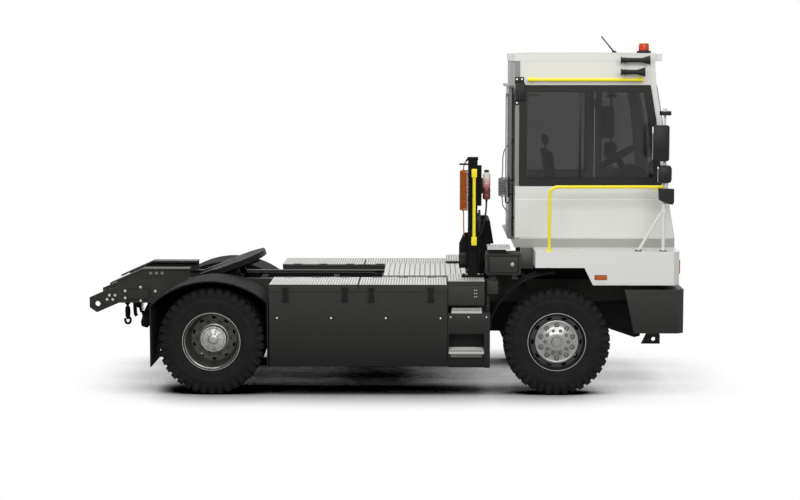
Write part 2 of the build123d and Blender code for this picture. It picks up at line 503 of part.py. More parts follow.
throat = half_throat + [(x, -y) for x, y in half_throat[::-1]]
plate -= plan_plate(throat, PLATE_TOP - PLATE_SKIRT - 5, PLATE_TOP + 5)
plate -= Pos(0, 0, PLATE_TOP) * Cylinder(KINGPIN_R, 2 * PLATE_SKIRT + 10)
ear = side_plate([(-75, PLATE_TOP - 10), (75, PLATE_TOP - 10), (46, 0), (30, -34), (-30, -34), (-46, 0)], EAR_IN,
                 EAR_IN + EAR_WALL)
ear -= cross_bore(0, 0, EAR_IN - 5, EAR_IN + EAR_WALL + 5, COUPLER_PIN_R)
plate += both(ear)
save("fifth_wheel", Pos(COUPLER_X, 0, COUPLER_Z) * Rot(Y=-PLATE_REST_TILT) * plate)

# Battery boxes fill both sides between the rear wheels and the steps, with latches and a hinge bearer per lid.
STEP_NOSE_X = FRONT_AXLE_X - TYRE_R - 195.0
STEP_LONG = 368.0
STEP_REAR_X = STEP_NOSE_X - STEP_LONG
BOX_REAR_X = REAR_AXLE_X + TYRE_R + 52.0
BOX_NOSE_X = STEP_REAR_X - 4.0
BOX_OUT = BODY_HALF - 14.0
BOX_IN = RAIL_OUT + 180.0
BOX_DEEP = 800.0
BOX_TOP = RAIL_TOP + 4.0
BOX_FLOOR_Z = BOX_TOP - BOX_DEEP
BOX_WALL = 12.0
LID_TOP = BOX_TOP + 30.0
LID_SKIRT = 67.0
LID_SKIRT_Z = LID_TOP - LID_SKIRT
LID_SKIN = 6.0
LID_RIM = 40.0
LID_SPLIT_X = (BOX_REAR_X + BOX_NOSE_X) / 2
HINGE_R = 10.0
HINGE_Y = BOX_IN - 16.0
HINGE_Z = LID_TOP - 12.0
HINGE_INSET = 70.0
LATCH_OUT = 25.0
LATCH_HALF = 22.0
BEARER = 80.0

box = block(BOX_REAR_X, BOX_NOSE_X, BOX_IN, BOX_OUT, BOX_FLOOR_Z, BOX_TOP)
box -= block(BOX_REAR_X + BOX_WALL, BOX_NOSE_X - BOX_WALL, BOX_IN + BOX_WALL, BOX_OUT - BOX_WALL,
             BOX_FLOOR_Z + BOX_WALL, BOX_TOP + 9)
for x in (BOX_REAR_X + 250, BOX_NOSE_X - 330):
    box += block(x, x + BEARER, RAIL_OUT, BOX_IN + 6, RAIL_BOTTOM + 20, RAIL_BOTTOM + 180)

# Lids: name, rear end, front end, places of the two latches as shares of the length.
LIDS = [("rear", BOX_REAR_X - 2, LID_SPLIT_X - CLEAR / 2, (0.19, 0.857)),
        ("front", LID_SPLIT_X + CLEAR / 2, BOX_NOSE_X - 4, (0.145, 0.815))]
for name, x0, x1, latches in LIDS:
    for share in latches:
        x = x0 + share * (x1 - x0)
        box += block(x - LATCH_HALF, x + LATCH_HALF, BOX_OUT - 2, BODY_HALF + LATCH_OUT, LID_SKIRT_Z - 97, LID_SKIRT_Z - 15)
        box += block(x - LATCH_HALF + 6, x + LATCH_HALF - 6, BODY_HALF + 11, BODY_HALF + LATCH_OUT, LID_SKIRT_Z - 63,
                     LID_TOP - 28)
    h0 = x0 + HINGE_INSET
    h1 = x1 - HINGE_INSET
    box += block(h0, h1, HINGE_Y - 6, BOX_IN + 4, LID_SKIRT_Z - 60, BOX_TOP - 10)
    box += block(h0, h1, HINGE_Y - 6, BOX_IN - 6, LID_SKIRT_Z - 60, HINGE_Z - HINGE_R - SEAT)
    lid = block(x0, x1, BOX_IN, BODY_HALF, BOX_TOP + SEAT, LID_TOP)
    lid += block(x0, x1, BODY_HALF - LID_SKIN, BODY_HALF, LID_SKIRT_Z, LID_TOP)
    lid -= block(x0 + LID_RIM, x1 - LID_RIM, BOX_IN + LID_RIM, BODY_HALF - LID_RIM, BOX_TOP - 9, LID_TOP - LID_SKIN)
    lid += pin((h0, HINGE_Y, HINGE_Z), (h1, HINGE_Y, HINGE_Z), HINGE_R)
    lid += block(h0, h1, HINGE_Y, BOX_IN + 9, HINGE_Z, HINGE_Z + HINGE_R)
    save(f"lid_left_{name}", lid)
    save(f"lid_right_{name}", mirror(lid, Plane.XZ))
save("battery_boxes", both(box))

# Battery packs: the heavy blocks inside the boxes.
pack = block(BOX_REAR_X + 60, BOX_NOSE_X - 60, BOX_IN + 50, BOX_OUT - 50, BOX_FLOOR_Z + BOX_WALL, BOX_TOP - 90)
save("battery_packs", both(pack))

# Step boxes: an upper housing, a recessed first step, and a lower housing with a toe niche for the second step.
STEP_LOW_NOSE_X = STEP_NOSE_X + 57.0
STEP_IN = BOX_IN
STEP_UP_TOP = RAIL_TOP + 72.0
STEP_UP_LOW = STEP_UP_TOP - 243.0
STEP_LOW_TOP = STEP_UP_LOW - 82.0
STEP_FLOOR_Z = BOX_FLOOR_Z - 12.0
NICHE_DEEP = 200.0
NICHE_POST = 60.0
NICHE_HIGH = 206.0
TREAD_SKIN = 4.0
TREAD_THICK = 40.0
TREAD_1_Z = STEP_LOW_TOP + TREAD_THICK
TREAD_2_Z = TREAD_1_Z - 413.0
KICK_Z = TREAD_2_Z - TREAD_THICK - 40.0
niche_back = BODY_HALF - NICHE_DEEP
step_face = BODY_HALF - 4.0
step = block(STEP_REAR_X, STEP_NOSE_X, STEP_IN, BODY_HALF, STEP_UP_LOW, STEP_UP_TOP)
step += block(STEP_REAR_X, STEP_NOSE_X, STEP_IN, niche_back, STEP_LOW_TOP - 5, STEP_UP_LOW + 5)
step += block(STEP_REAR_X, STEP_LOW_NOSE_X, STEP_IN, step_face, STEP_FLOOR_Z, STEP_LOW_TOP)
step -= block(STEP_REAR_X + 8, STEP_LOW_NOSE_X - NICHE_POST, niche_back, BODY_HALF + 9, TREAD_2_Z - TREAD_THICK,
              STEP_LOW_TOP - NICHE_HIGH)
step -= block(STEP_REAR_X - 9, STEP_LOW_NOSE_X - NICHE_POST, step_face - 30, BODY_HALF + 9, STEP_FLOOR_Z - 9, KICK_Z)
step += block(STEP_REAR_X + 60, STEP_NOSE_X - 60, RAIL_OUT, STEP_IN + 4, RAIL_BOTTOM + 20, RAIL_BOTTOM + 160)
save("step_boxes", both(step))

# Tread plates: the ribbed deck behind the cab, the tops of the step boxes, two treads a side.
DECK_REAR_X = BOOM_PIVOT_X + 127.0
DECK_NOSE_X = CAB_REAR_X - 480.0
DECK_HALF = HINGE_Y - 24.0
DECK_TOP = RAIL_TOP + 40.0
DECK_RIBS = 11
RIB_TALL = 4.0
RIB_WIDE = 28.0
deck = block(DECK_REAR_X, DECK_NOSE_X, -DECK_HALF, DECK_HALF, RAIL_TOP, DECK_TOP)
deck -= block(DECK_REAR_X + 12, DECK_NOSE_X - 12, -DECK_HALF + 12, DECK_HALF - 12, RAIL_TOP - 9, DECK_TOP - 6)
deck += both(block(DECK_REAR_X + 12, DECK_NOSE_X - 12, RAIL_IN + 10, RAIL_OUT - 10, RAIL_TOP, DECK_TOP - 3))
rib_step = (DECK_NOSE_X - DECK_REAR_X) / DECK_RIBS
for n in range(DECK_RIBS):
    x = DECK_REAR_X + (n + 0.5) * rib_step
    deck += block(x - RIB_WIDE / 2, x + RIB_WIDE / 2, -DECK_HALF, DECK_HALF, DECK_TOP - 1, DECK_TOP + RIB_TALL)
treads = block(STEP_REAR_X, STEP_NOSE_X, STEP_IN, BODY_HALF, STEP_UP_TOP, STEP_UP_TOP + TREAD_SKIN)
treads += block(STEP_REAR_X + 36, STEP_NOSE_X - 26, niche_back, BODY_HALF - 2, STEP_LOW_TOP, TREAD_1_Z)
treads += block(STEP_REAR_X + 8, STEP_LOW_NOSE_X - NICHE_POST, niche_back, BODY_HALF - 2, TREAD_2_Z - TREAD_THICK, TREAD_2_Z)
save("tread_plates", deck + both(treads))

# Hose mast on the right step box: a channel post with a foot, a bottle bracket and the coupling panel.
MAST_X = STEP_NOSE_X - 115.0
MAST_Y = -(BODY_HALF - 350.0)
MAST_HALF = 48.0
MAST_DEEP = 40.0
MAST_WALL = 10.0
MAST_FOOT_Z = STEP_UP_TOP + TREAD_SKIN
MAST_TOP = MAST_FOOT_Z + 1223.0
BRACKET_X = MAST_X + 90.0
PANEL_LOW = MAST_FOOT_Z + 88.0
mast = block(MAST_X - MAST_HALF, MAST_X + MAST_HALF, MAST_Y - MAST_DEEP, MAST_Y + MAST_DEEP, MAST_FOOT_Z, MAST_TOP)
mast -= block(MAST_X - MAST_HALF + MAST_WALL, MAST_X + MAST_HALF - MAST_WALL, MAST_Y - MAST_DEEP + MAST_WALL,
              MAST_Y + MAST_DEEP + 9, MAST_FOOT_Z + 36, MAST_TOP - MAST_WALL)
mast += block(MAST_X - 110, MAST_X + 110, MAST_Y - 70, MAST_Y + 70, MAST_FOOT_Z, MAST_FOOT_Z + 20)
mast += block(MAST_X + MAST_HALF - 2, BRACKET_X, MAST_Y - 20, MAST_Y + 20, MAST_TOP - 109, MAST_TOP - 79)
mast += block(MAST_X + MAST_HALF - 2, BRACKET_X, MAST_Y - 10, MAST_Y + 10, MAST_TOP - 493, MAST_TOP - 105)
mast += side_plate([(MAST_X - 137, PANEL_LOW), (MAST_X + 20, PANEL_LOW), (MAST_X + 20, PANEL_LOW + 380),
                    (MAST_X - 90, PANEL_LOW + 360), (MAST_X - 137, PANEL_LOW + 252)], MAST_Y + MAST_DEEP,
                   MAST_Y + MAST_DEEP + 20)
save("hose_mast", mast)

# Oil tank across the frame behind the cab, with one sloping side.
TANK_X = CAB_REAR_X - 290.0
TANK_HALF = 340.0
TANK_LOW = CAB_FLOOR_Z - 7.0
TANK_TOP = TANK_LOW + 240.0
tank = side_plate([(TANK_X - 80, TANK_LOW), (TANK_X + 95, TANK_LOW), (TANK_X + 55, TANK_TOP), (TANK_X - 80, TANK_TOP)],
                  -TANK_HALF, TANK_HALF)
tank += both(block(TANK_X - 60, TANK_X + 60, TANK_HALF - 5, RAIL_OUT - 30, RAIL_TOP, TANK_LOW + 40))
save("oil_tank", tank)

# Cabinet beside the cab's rear corner: a case on a bracket, a chequered top step, the small box and its strut.
CABINET_REAR_X = STEP_NOSE_X + 22.0
CABINET_LONG = 348.0
CABINET_NOSE_X = CABINET_REAR_X + CABINET_LONG
CABINET_OUT = BODY_HALF - 150.0
CABINET_IN = CABINET_OUT - 310.0
CABINET_LOW = RAIL_TOP + 119.0
CABINET_TOP = CABINET_LOW + 217.0
CASE_WALL = 8.0
DOOR_SKIN = 20.0
SMALL_BOX_LOW = RAIL_TOP - 68.0
SMALL_BOX_TOP = SMALL_BOX_LOW + 132.0
case_face = -CABINET_OUT + DOOR_SKIN + CLEAR
cabinet = block(CABINET_REAR_X, CABINET_NOSE_X, case_face, -CABINET_IN, CABINET_LOW, CABINET_TOP)
cabinet -= block(CABINET_REAR_X + CASE_WALL, CABINET_NOSE_X - CASE_WALL, case_face - 9, -CABINET_IN - CASE_WALL,
                 CABINET_LOW + CASE_WALL, CABINET_TOP - CASE_WALL)
cabinet += block(CABINET_REAR_X + 20, CABINET_REAR_X + 200, -CABINET_OUT + 60, -CABINET_IN, CABINET_TOP - 4,
                 CABINET_TOP + 50)
cabinet += block(CABINET_REAR_X + 8, CABINET_REAR_X + 240, -CABINET_OUT - 30, -CABINET_IN, CABINET_TOP + 45,
                 CABINET_TOP + 62)
cabinet += block(CABINET_REAR_X + 4, CABINET_REAR_X + 118, -BODY_HALF + 100, -CABINET_OUT + 160, SMALL_BOX_LOW,
                 SMALL_BOX_TOP)
cabinet += block(CABINET_REAR_X + 30, CABINET_REAR_X + 90, -CABINET_OUT + 60, -CABINET_OUT + 160, SMALL_BOX_TOP - 10,
                 CABINET_LOW + 4)
cabinet += block(CABINET_REAR_X + 2, CABINET_REAR_X + 34, -CABINET_OUT + 20, -CABINET_OUT + 32, STEP_LOW_TOP,
                 SMALL_BOX_LOW + 5)
bracket_x0 = CABINET_REAR_X + 120
bracket_x1 = CABINET_NOSE_X - 60
cabinet += block(bracket_x0, bracket_x1, -CABINET_IN - CASE_WALL, -RAIL_OUT + 20, CABINET_LOW + 20, CABINET_LOW + 90)
cabinet += block(bracket_x0, bracket_x1, -RAIL_OUT, -RAIL_OUT + 60, RAIL_TOP, CABINET_LOW + 90)
CABINET_HINGE_R = 9.0
CABINET_HINGE_X = CABINET_REAR_X + 3.0
HINGE_TALL = 50.0
CABINET_HINGES = (CABINET_LOW + 40, CABINET_TOP - 40)
leaf_x1 = CABINET_HINGE_X - CABINET_HINGE_R - SEAT
cabinet_door = block(CABINET_REAR_X + 3, CABINET_NOSE_X - 3, -CABINET_OUT, -CABINET_OUT + DOOR_SKIN, CABINET_LOW + 3,
                     CABINET_TOP - 3)
cabinet_door += block(CABINET_REAR_X + CASE_WALL + CLEAR, CABINET_NOSE_X - CASE_WALL - CLEAR,
                      -CABINET_OUT + DOOR_SKIN - 2, case_face - SEAT - 5, CABINET_LOW + CASE_WALL + CLEAR,
                      CABINET_TOP - CASE_WALL - CLEAR)
for z in CABINET_HINGES:
    low = z - HINGE_TALL / 2
    high = z + HINGE_TALL / 2
    cabinet += block(leaf_x1 - 8, leaf_x1, -CABINET_OUT - 9, -CABINET_OUT + 70, low, high)
    cabinet += block(leaf_x1 - 8, CABINET_REAR_X + 4, case_face + 2, -CABINET_OUT + 70, low, high)
    cabinet_door += pin((CABINET_HINGE_X, -CABINET_OUT, low), (CABINET_HINGE_X, -CABINET_OUT, high), CABINET_HINGE_R)
save("cabinet", cabinet)
save("cabinet_door", cabinet_door)

# Mudguards: an arch with two flaps over each rear pair, and an arch with a rear flap over each front wheel.
GUARD_SKIN = 6.0
GUARD_REAR_R = 870.0
GUARD_TOP = 2 * TYRE_R + 85.0
GUARD_REACH = TYRE_R + 70.0
GUARD_IN = RAIL_OUT + 145.0
GUARD_LOW = AXLE_Z - 251.0
FLAP = 12.0
FRONT_GUARD_R = TYRE_R + 175.0
FRONT_GUARD_IN = KING_PIN_Y - 5.0
ARC_STEPS = 12


def arc_points(centre_x, centre_z, radius, start, end):
    """Points along an arc in X and Z; angles in degrees from +X toward +Z."""
    turns = [radians(start + (end - start) * n / ARC_STEPS) for n in range(ARC_STEPS + 1)]
    return [(centre_x + radius * cos(a), centre_z + radius * sin(a)) for a in turns]


def arc_strip(centre_x, centre_z, radius, start, end, y0, y1):
    """A curved strip of guard sheet."""
    outer = arc_points(centre_x, centre_z, radius, start, end)
    inner = arc_points(centre_x, centre_z, radius - GUARD_SKIN, start, end)
    return side_plate(outer + inner[::-1], y0, y1)


# The arch ends over the flaps: how far behind the rear flap's middle, and how far ahead of the front flap's rear face.
REAR_LIP = 5.183
FRONT_LIP = 7.479
front_flap = GUARD_REACH - 41.0
guard_z = GUARD_TOP - GUARD_REAR_R
guard_start = degrees(acos((front_flap + FRONT_LIP) / GUARD_REAR_R))
guard_end = 180 - degrees(acos((GUARD_REACH + REAR_LIP) / GUARD_REAR_R))
front_flap_top = guard_z + GUARD_REAR_R * sin(radians(guard_start)) - 0.591
rear_flap_top = guard_z + GUARD_REAR_R * sin(radians(guard_end)) + 7.817
guard = arc_strip(REAR_AXLE_X, guard_z, GUARD_REAR_R, guard_start, guard_end, GUARD_IN, BODY_HALF)
guard += block(REAR_AXLE_X - GUARD_REACH - FLAP / 2, REAR_AXLE_X - GUARD_REACH + FLAP / 2, GUARD_IN, BODY_HALF, GUARD_LOW,
               rear_flap_top)
guard += block(REAR_AXLE_X + front_flap, REAR_AXLE_X + front_flap + FLAP, GUARD_IN, BODY_HALF, GUARD_LOW + 12,
               front_flap_top)
guard += block(REAR_AXLE_X - 60, REAR_AXLE_X + 20, RAIL_OUT, GUARD_IN + 20, RAIL_TOP - 60, RAIL_TOP)
guard += block(REAR_AXLE_X - 60, REAR_AXLE_X + 20, GUARD_IN, GUARD_IN + 20, RAIL_TOP - 60, GUARD_TOP - 5)
FRONT_GUARD_END = 160.0
front_guard = arc_strip(FRONT_AXLE_X, AXLE_Z, FRONT_GUARD_R, 92, FRONT_GUARD_END, FRONT_GUARD_IN, BODY_HALF - 50)
flap_x = FRONT_AXLE_X + FRONT_GUARD_R * cos(radians(FRONT_GUARD_END))
flap_z = AXLE_Z + FRONT_GUARD_R * sin(radians(FRONT_GUARD_END))
front_guard += block(flap_x, flap_x + GUARD_SKIN, FRONT_GUARD_IN, BODY_HALF - 50, flap_z - 95, flap_z + 3)
stay_x = FRONT_AXLE_X - 310.0
front_guard += block(stay_x - 20, stay_x + 20, RAIL_OUT, FRONT_GUARD_IN + 40, RAIL_TOP + 44, RAIL_TOP + 84)
front_guard += block(stay_x - 20, stay_x + 20, RAIL_OUT, RAIL_OUT + 20, RAIL_TOP - 60, RAIL_TOP + 84)
save("mudguards", both(guard) + both(front_guard))

# Front deck: white sheet round the nose with cut-off corners, a louvred front, side skirts and mirror posts.
FRONT_DECK_REAR = FRONT_AXLE_X - 227.0
FRONT_DECK_TOP = CAB_FLOOR_Z
FRONT_DECK_LOW = RAIL_TOP + 34.0
FRONT_DECK_STEP = RAIL_TOP + 209.0
FRONT_DECK_NOSE = NOSE_X - 48.0
CORNER = 60.0
SHEET = 8.0
CAB_RIGHT_Y = -(BODY_HALF - 450.0)
CAB_LEFT_Y = BODY_HALF - 250.0
WELL_HALF = RAIL_OUT + 190.0
SKIRT_LOW = CAB_FLOOR_Z - 217.0


def nose_shell(side_line, nose, inset):
    """A side outline across the whole width, cut to a plan with cut-off front corners and drawn in by inset."""
    half = BODY_HALF - inset
    front = nose - inset
    plan = [(side_line[0][0] - 99, -half), (front - CORNER, -half), (front, -half + CORNER), (front, half - CORNER),
            (front - CORNER, half), (side_line[0][0] - 99, half)]
    return side_plate(side_line, -half, half) & plan_plate(plan, 0, FRONT_DECK_TOP + 99)


deck_line = [(FRONT_DECK_REAR, FRONT_DECK_STEP), (FRONT_DECK_REAR, FRONT_DECK_TOP), (FRONT_DECK_NOSE, FRONT_DECK_TOP),
             (FRONT_DECK_NOSE, FRONT_DECK_LOW), (FRONT_AXLE_X + 352, FRONT_DECK_LOW),
             (FRONT_AXLE_X + 265, FRONT_DECK_STEP)]
deck_void = [(FRONT_DECK_REAR + SHEET, FRONT_DECK_LOW - 99), (FRONT_DECK_REAR + SHEET, FRONT_DECK_TOP - SHEET),
             (FRONT_DECK_NOSE, FRONT_DECK_TOP - SHEET), (FRONT_DECK_NOSE, FRONT_DECK_LOW - 99)]
front_deck = nose_shell(deck_line, FRONT_DECK_NOSE, 0) - nose_shell(deck_void, FRONT_DECK_NOSE, SHEET)
front_deck -= block(FRONT_DECK_REAR - 9, FRONT_DECK_NOSE - 400, -WELL_HALF, WELL_HALF, FRONT_DECK_LOW - 9,
                    FRONT_DECK_TOP + 9)
front_deck -= both(block(RAIL_NOSE_X - 178, RAIL_NOSE_X - 62, RAIL_IN, RAIL_OUT + CLEAR, RAIL_TOP, FRONT_DECK_TOP + 9))
LOUVRES = 6
LOUVRE_TALL = 16.0
LOUVRE_STEP = 34.0
for n in range(LOUVRES):
    z = FRONT_DECK_LOW + 80 + n * LOUVRE_STEP
    front_deck -= block(FRONT_DECK_NOSE - SHEET - 9, FRONT_DECK_NOSE + 9, -WELL_HALF, WELL_HALF, z, z + LOUVRE_TALL)
front_deck += both(block(RAIL_NOSE_X - 50, FRONT_DECK_NOSE - SHEET + 2, RAIL_OUT - 60, RAIL_OUT, RAIL_TOP,
                         FRONT_DECK_LOW + 60))
front_deck += block(CABINET_NOSE_X + CLEAR, FRONT_DECK_REAR + 4, CAB_RIGHT_Y, CAB_RIGHT_Y + SHEET, SKIRT_LOW,
                    FRONT_DECK_TOP - SEAT)

# Mirror posts: side, x, reach of the brace to the rear, rise of the mirrors.
POST_X = FRONT_AXLE_X + 1062.0
POST_Y = BODY_HALF - 100.0
POST_TOP = FRONT_DECK_TOP + 463.0
MIRROR_SIDES = [(-1, POST_X, 250, 0), (1, POST_X - 315, 150, 125)]
for side, x, brace, rise in MIRROR_SIDES:
    y = side * POST_Y
    front_deck += bar((x, y, FRONT_DECK_TOP - 4), (x, y, POST_TOP), 17)
    front_deck += bar((x - brace, y, FRONT_DECK_TOP - 4), (x - 10, y, POST_TOP - 50), 15)
save("front_deck", front_deck)

# Bumper: a hollow dark nose under the deck on two stubs from the rails, with a tow eye plate under each side.
BUMPER_TOP = RAIL_TOP - 10.0
BUMPER_DEEP = 443.0
BUMPER_LOW = BUMPER_TOP - BUMPER_DEEP
BUMPER_SKIN = 10.0
BUMPER_BACK = 180.0
TOW_EYE_X = NOSE_X - 234.0
TOW_EYE_LOW = BUMPER_LOW - 233.0
TOW_EYE_R = 22.0
bumper_line = [(NOSE_X - 598, BUMPER_TOP), (NOSE_X, BUMPER_TOP), (NOSE_X, BUMPER_LOW), (NOSE_X - 500, BUMPER_LOW)]
bumper = nose_shell(bumper_line, NOSE_X, 0)
void_line = [(NOSE_X - 699, BUMPER_TOP + 9), (NOSE_X - BUMPER_BACK, BUMPER_TOP + 9),
             (NOSE_X - BUMPER_BACK, BUMPER_TOP - BUMPER_SKIN), (NOSE_X, BUMPER_TOP - BUMPER_SKIN),
             (NOSE_X, BUMPER_LOW + BUMPER_SKIN), (NOSE_X - BUMPER_BACK, BUMPER_LOW + BUMPER_SKIN),
             (NOSE_X - BUMPER_BACK, BUMPER_LOW - 9), (NOSE_X - 699, BUMPER_LOW - 9)]
bumper -= nose_shell(void_line, NOSE_X, BUMPER_SKIN)
bumper += both(block(RAIL_NOSE_X, NOSE_X - BUMPER_SKIN + 2, RAIL_IN, RAIL_OUT, BUMPER_LOW + 220, BUMPER_TOP - 40))
tow_eye = side_plate([(TOW_EYE_X - 98, TOW_EYE_LOW), (TOW_EYE_X + 98, TOW_EYE_LOW), (TOW_EYE_X + 98, TOW_EYE_LOW + 90),
                      (TOW_EYE_X + 60, BUMPER_LOW + 5), (TOW_EYE_X + 20, BUMPER_LOW + 5)], RAIL_OUT - 50, RAIL_OUT - 20)
tow_eye -= cross_pin(TOW_EYE_X + 30, TOW_EYE_LOW + 50, RAIL_OUT - 60, RAIL_OUT - 10, TOW_EYE_R)
bumper += both(tow_eye)
save("front_bumper", bumper)

# Lamps: headlamps on the nose, amber side and turn lamps with the beacon, red lamps beside the frame's tail.
LAMP_Y = BODY_HALF - 300.0
LAMP_OUT = 24.0
SIDE_LAMP_Z = FRONT_DECK_LOW + 60.0
ROOF_TOP = CAB_FLOOR_Z + 1983.0
BEACON_X = CAB_REAR_X + 1325.0
BEACON_Y = CAB_RIGHT_Y + 200.0
BEACON_R = 50.0
BEACON_BASE = 24.0
headlamp = block(FRONT_DECK_NOSE, FRONT_DECK_NOSE + LAMP_OUT, LAMP_Y - 190, LAMP_Y + 10, SIDE_LAMP_Z + 10,
                 SIDE_LAMP_Z + 200)
save("headlamps", both(headlamp))
amber = both(block(FRONT_AXLE_X + 372, FRONT_AXLE_X + 487, BODY_HALF, BODY_HALF + 14, SIDE_LAMP_Z, SIDE_LAMP_Z + 38))
amber += both(block(FRONT_DECK_NOSE, FRONT_DECK_NOSE + LAMP_OUT - 2, LAMP_Y + 40, LAMP_Y + 140, SIDE_LAMP_Z + 40,
                    SIDE_LAMP_Z + 180))
amber += bar((BEACON_X, BEACON_Y, ROOF_TOP + BEACON_BASE), (BEACON_X, BEACON_Y, ROOF_TOP + BEACON_BASE + 76), BEACON_R,
             HUB_SIDES)
save("amber_lamps", amber)
tail_lamp = block(RAIL_TAIL_X + 100, RAIL_TAIL_X + 330, RAIL_OUT, RAIL_OUT + 40, RAIL_BOTTOM + 44, RAIL_BOTTOM + 144)
save("tail_lamps", both(tail_lamp))

# Cab: floor, walls and roof meet along the panel seams, with window and door openings cut.
WALL = 50.0
FLOOR_SKIN = 60.0
ROOF_SKIN = 80.0
CAB_NOSE_X = FRONT_DECK_NOSE
CAB_FLOOR_TOP = CAB_FLOOR_Z + FLOOR_SKIN
CAB_EAVE_Z = ROOF_TOP - ROOF_SKIN
SILL_RISE = 631.0
SILL_Z = CAB_FLOOR_Z + SILL_RISE
HEAD_Z = SILL_Z + 1030.0
PANE_LAP = 82.0
PILLAR = 126.0
save("cab_floor", block(CAB_REAR_X, CAB_NOSE_X, CAB_RIGHT_Y, CAB_LEFT_Y, CAB_FLOOR_Z, CAB_FLOOR_TOP))

# The front wall leans back in steps: setback from the nose, height.
FRONT_STEPS = [(0, CAB_FLOOR_TOP), (0, CAB_FLOOR_Z + 99), (51, CAB_FLOOR_Z + 386), (77, SILL_Z), (146, SILL_Z + 675),
               (207, HEAD_Z), (224, CAB_EAVE_Z)]
front_line = [(CAB_NOSE_X - back, z) for back, z in FRONT_STEPS]
front_in = [(x - WALL, z) for x, z in front_line]


def front_x(z):
    """Where the outside of the front wall stands at a height."""
    for (x0, z0), (x1, z1) in zip(front_line[1:], front_line[2:]):
        if z0 <= z <= z1:
            return x0 + (x1 - x0) * (z - z0) / (z1 - z0)


def window(rear, low, high, reach, y0, y1):
    """A side window's outline from a rear edge to a line behind the front wall."""
    middle = SILL_Z + 675
    return side_plate([(rear, low), (front_x(low) - reach, low), (front_x(middle) - reach, middle),
                       (front_x(high) - reach, high), (rear, high)], y0, y1)


SCREEN_EDGE = 70.0
cab_front = side_plate(front_line + front_in[::-1], CAB_RIGHT_Y, CAB_LEFT_Y)
cab_front -= block(CAB_NOSE_X - 400, CAB_NOSE_X + 9, CAB_RIGHT_Y + SCREEN_EDGE, CAB_LEFT_Y - SCREEN_EDGE, SILL_Z + 40,
                   HEAD_Z - 40)
save("cab_front", cab_front)

wall_line = [(CAB_REAR_X + WALL, CAB_FLOOR_TOP)] + front_in + [(CAB_REAR_X + WALL, CAB_EAVE_Z)]
cab_right = side_plate(wall_line, CAB_RIGHT_Y, CAB_RIGHT_Y + WALL)
cab_right -= window(CAB_REAR_X + 105, SILL_Z + PANE_LAP, HEAD_Z - 66, PILLAR, CAB_RIGHT_Y - 9, CAB_RIGHT_Y + WALL + 9)
save("cab_right", cab_right)

# Left wall with the door, hinged at its front edge.
LEFT_DOOR_LONG = 860.0
LEFT_DOOR_REAR = CAB_REAR_X + 110.0
LEFT_DOOR_NOSE = LEFT_DOOR_REAR + LEFT_DOOR_LONG
LEFT_DOOR_LOW = CAB_FLOOR_TOP + 20.0
LEFT_DOOR_TOP = HEAD_Z - 8.0
DOOR_RIM = 80.0
DOOR_HINGE_X = LEFT_DOOR_NOSE - CLEAR / 2
DOOR_HINGE_Y = CAB_LEFT_Y + 12.0
DOOR_HINGE_R = 11.0
DOOR_HINGES = (LEFT_DOOR_LOW + 200, LEFT_DOOR_TOP - 220)
DOOR_HINGE_TALL = 100.0
cab_left = side_plate(wall_line, CAB_LEFT_Y - WALL, CAB_LEFT_Y)
cab_left -= block(LEFT_DOOR_REAR, LEFT_DOOR_NOSE, CAB_LEFT_Y - WALL - 9, CAB_LEFT_Y + 9, LEFT_DOOR_LOW, LEFT_DOOR_TOP)
cab_left -= window(LEFT_DOOR_NOSE + 60, SILL_Z + PANE_LAP, HEAD_Z - 66, PILLAR, CAB_LEFT_Y - WALL - 9, CAB_LEFT_Y + 9)
left_door = block(LEFT_DOOR_REAR + CLEAR, LEFT_DOOR_NOSE - CLEAR, CAB_LEFT_Y - WALL, CAB_LEFT_Y, LEFT_DOOR_LOW + CLEAR,
                  LEFT_DOOR_TOP - CLEAR)
left_door -= block(LEFT_DOOR_REAR + DOOR_RIM, LEFT_DOOR_NOSE - DOOR_RIM, CAB_LEFT_Y - WALL - 9, CAB_LEFT_Y + 9,
                   SILL_Z + 42, LEFT_DOOR_TOP - DOOR_RIM)
for z in DOOR_HINGES:
    low = z - DOOR_HINGE_TALL / 2
    high = z + DOOR_HINGE_TALL / 2
    cab_left += block(DOOR_HINGE_X + DOOR_HINGE_R + SEAT, DOOR_HINGE_X + 38, CAB_LEFT_Y - 2, CAB_LEFT_Y + 20, low, high)
    left_door += pin((DOOR_HINGE_X, DOOR_HINGE_Y, low), (DOOR_HINGE_X, DOOR_HINGE_Y, high), DOOR_HINGE_R)
    left_door += block(DOOR_HINGE_X - 60, DOOR_HINGE_X, CAB_LEFT_Y - 2, CAB_LEFT_Y + 10, low, high)
save("cab_left", cab_left)
save("cab_door_left", left_door)

# Rear wall with two fixed windows, and the sliding door on its two guides.
REAR_DOOR_RIGHT = CAB_RIGHT_Y + 280.0
REAR_DOOR_WIDE = 690.0
REAR_DOOR_LEFT = REAR_DOOR_RIGHT + REAR_DOOR_WIDE
REAR_DOOR_LOW = CAB_FLOOR_TOP + 26.0
REAR_DOOR_TOP = HEAD_Z - 38.0
REAR_DOOR_SKIN = 32.0
REAR_DOOR_X = CAB_REAR_X - 18.0
REAR_LAP = 30.0
GUIDE_BACK = REAR_DOOR_X - REAR_DOOR_SKIN - 6.0
guide_left = REAR_DOOR_RIGHT + 2 * REAR_DOOR_WIDE + 10
PANE_TOP = REAR_DOOR_TOP - 5.0
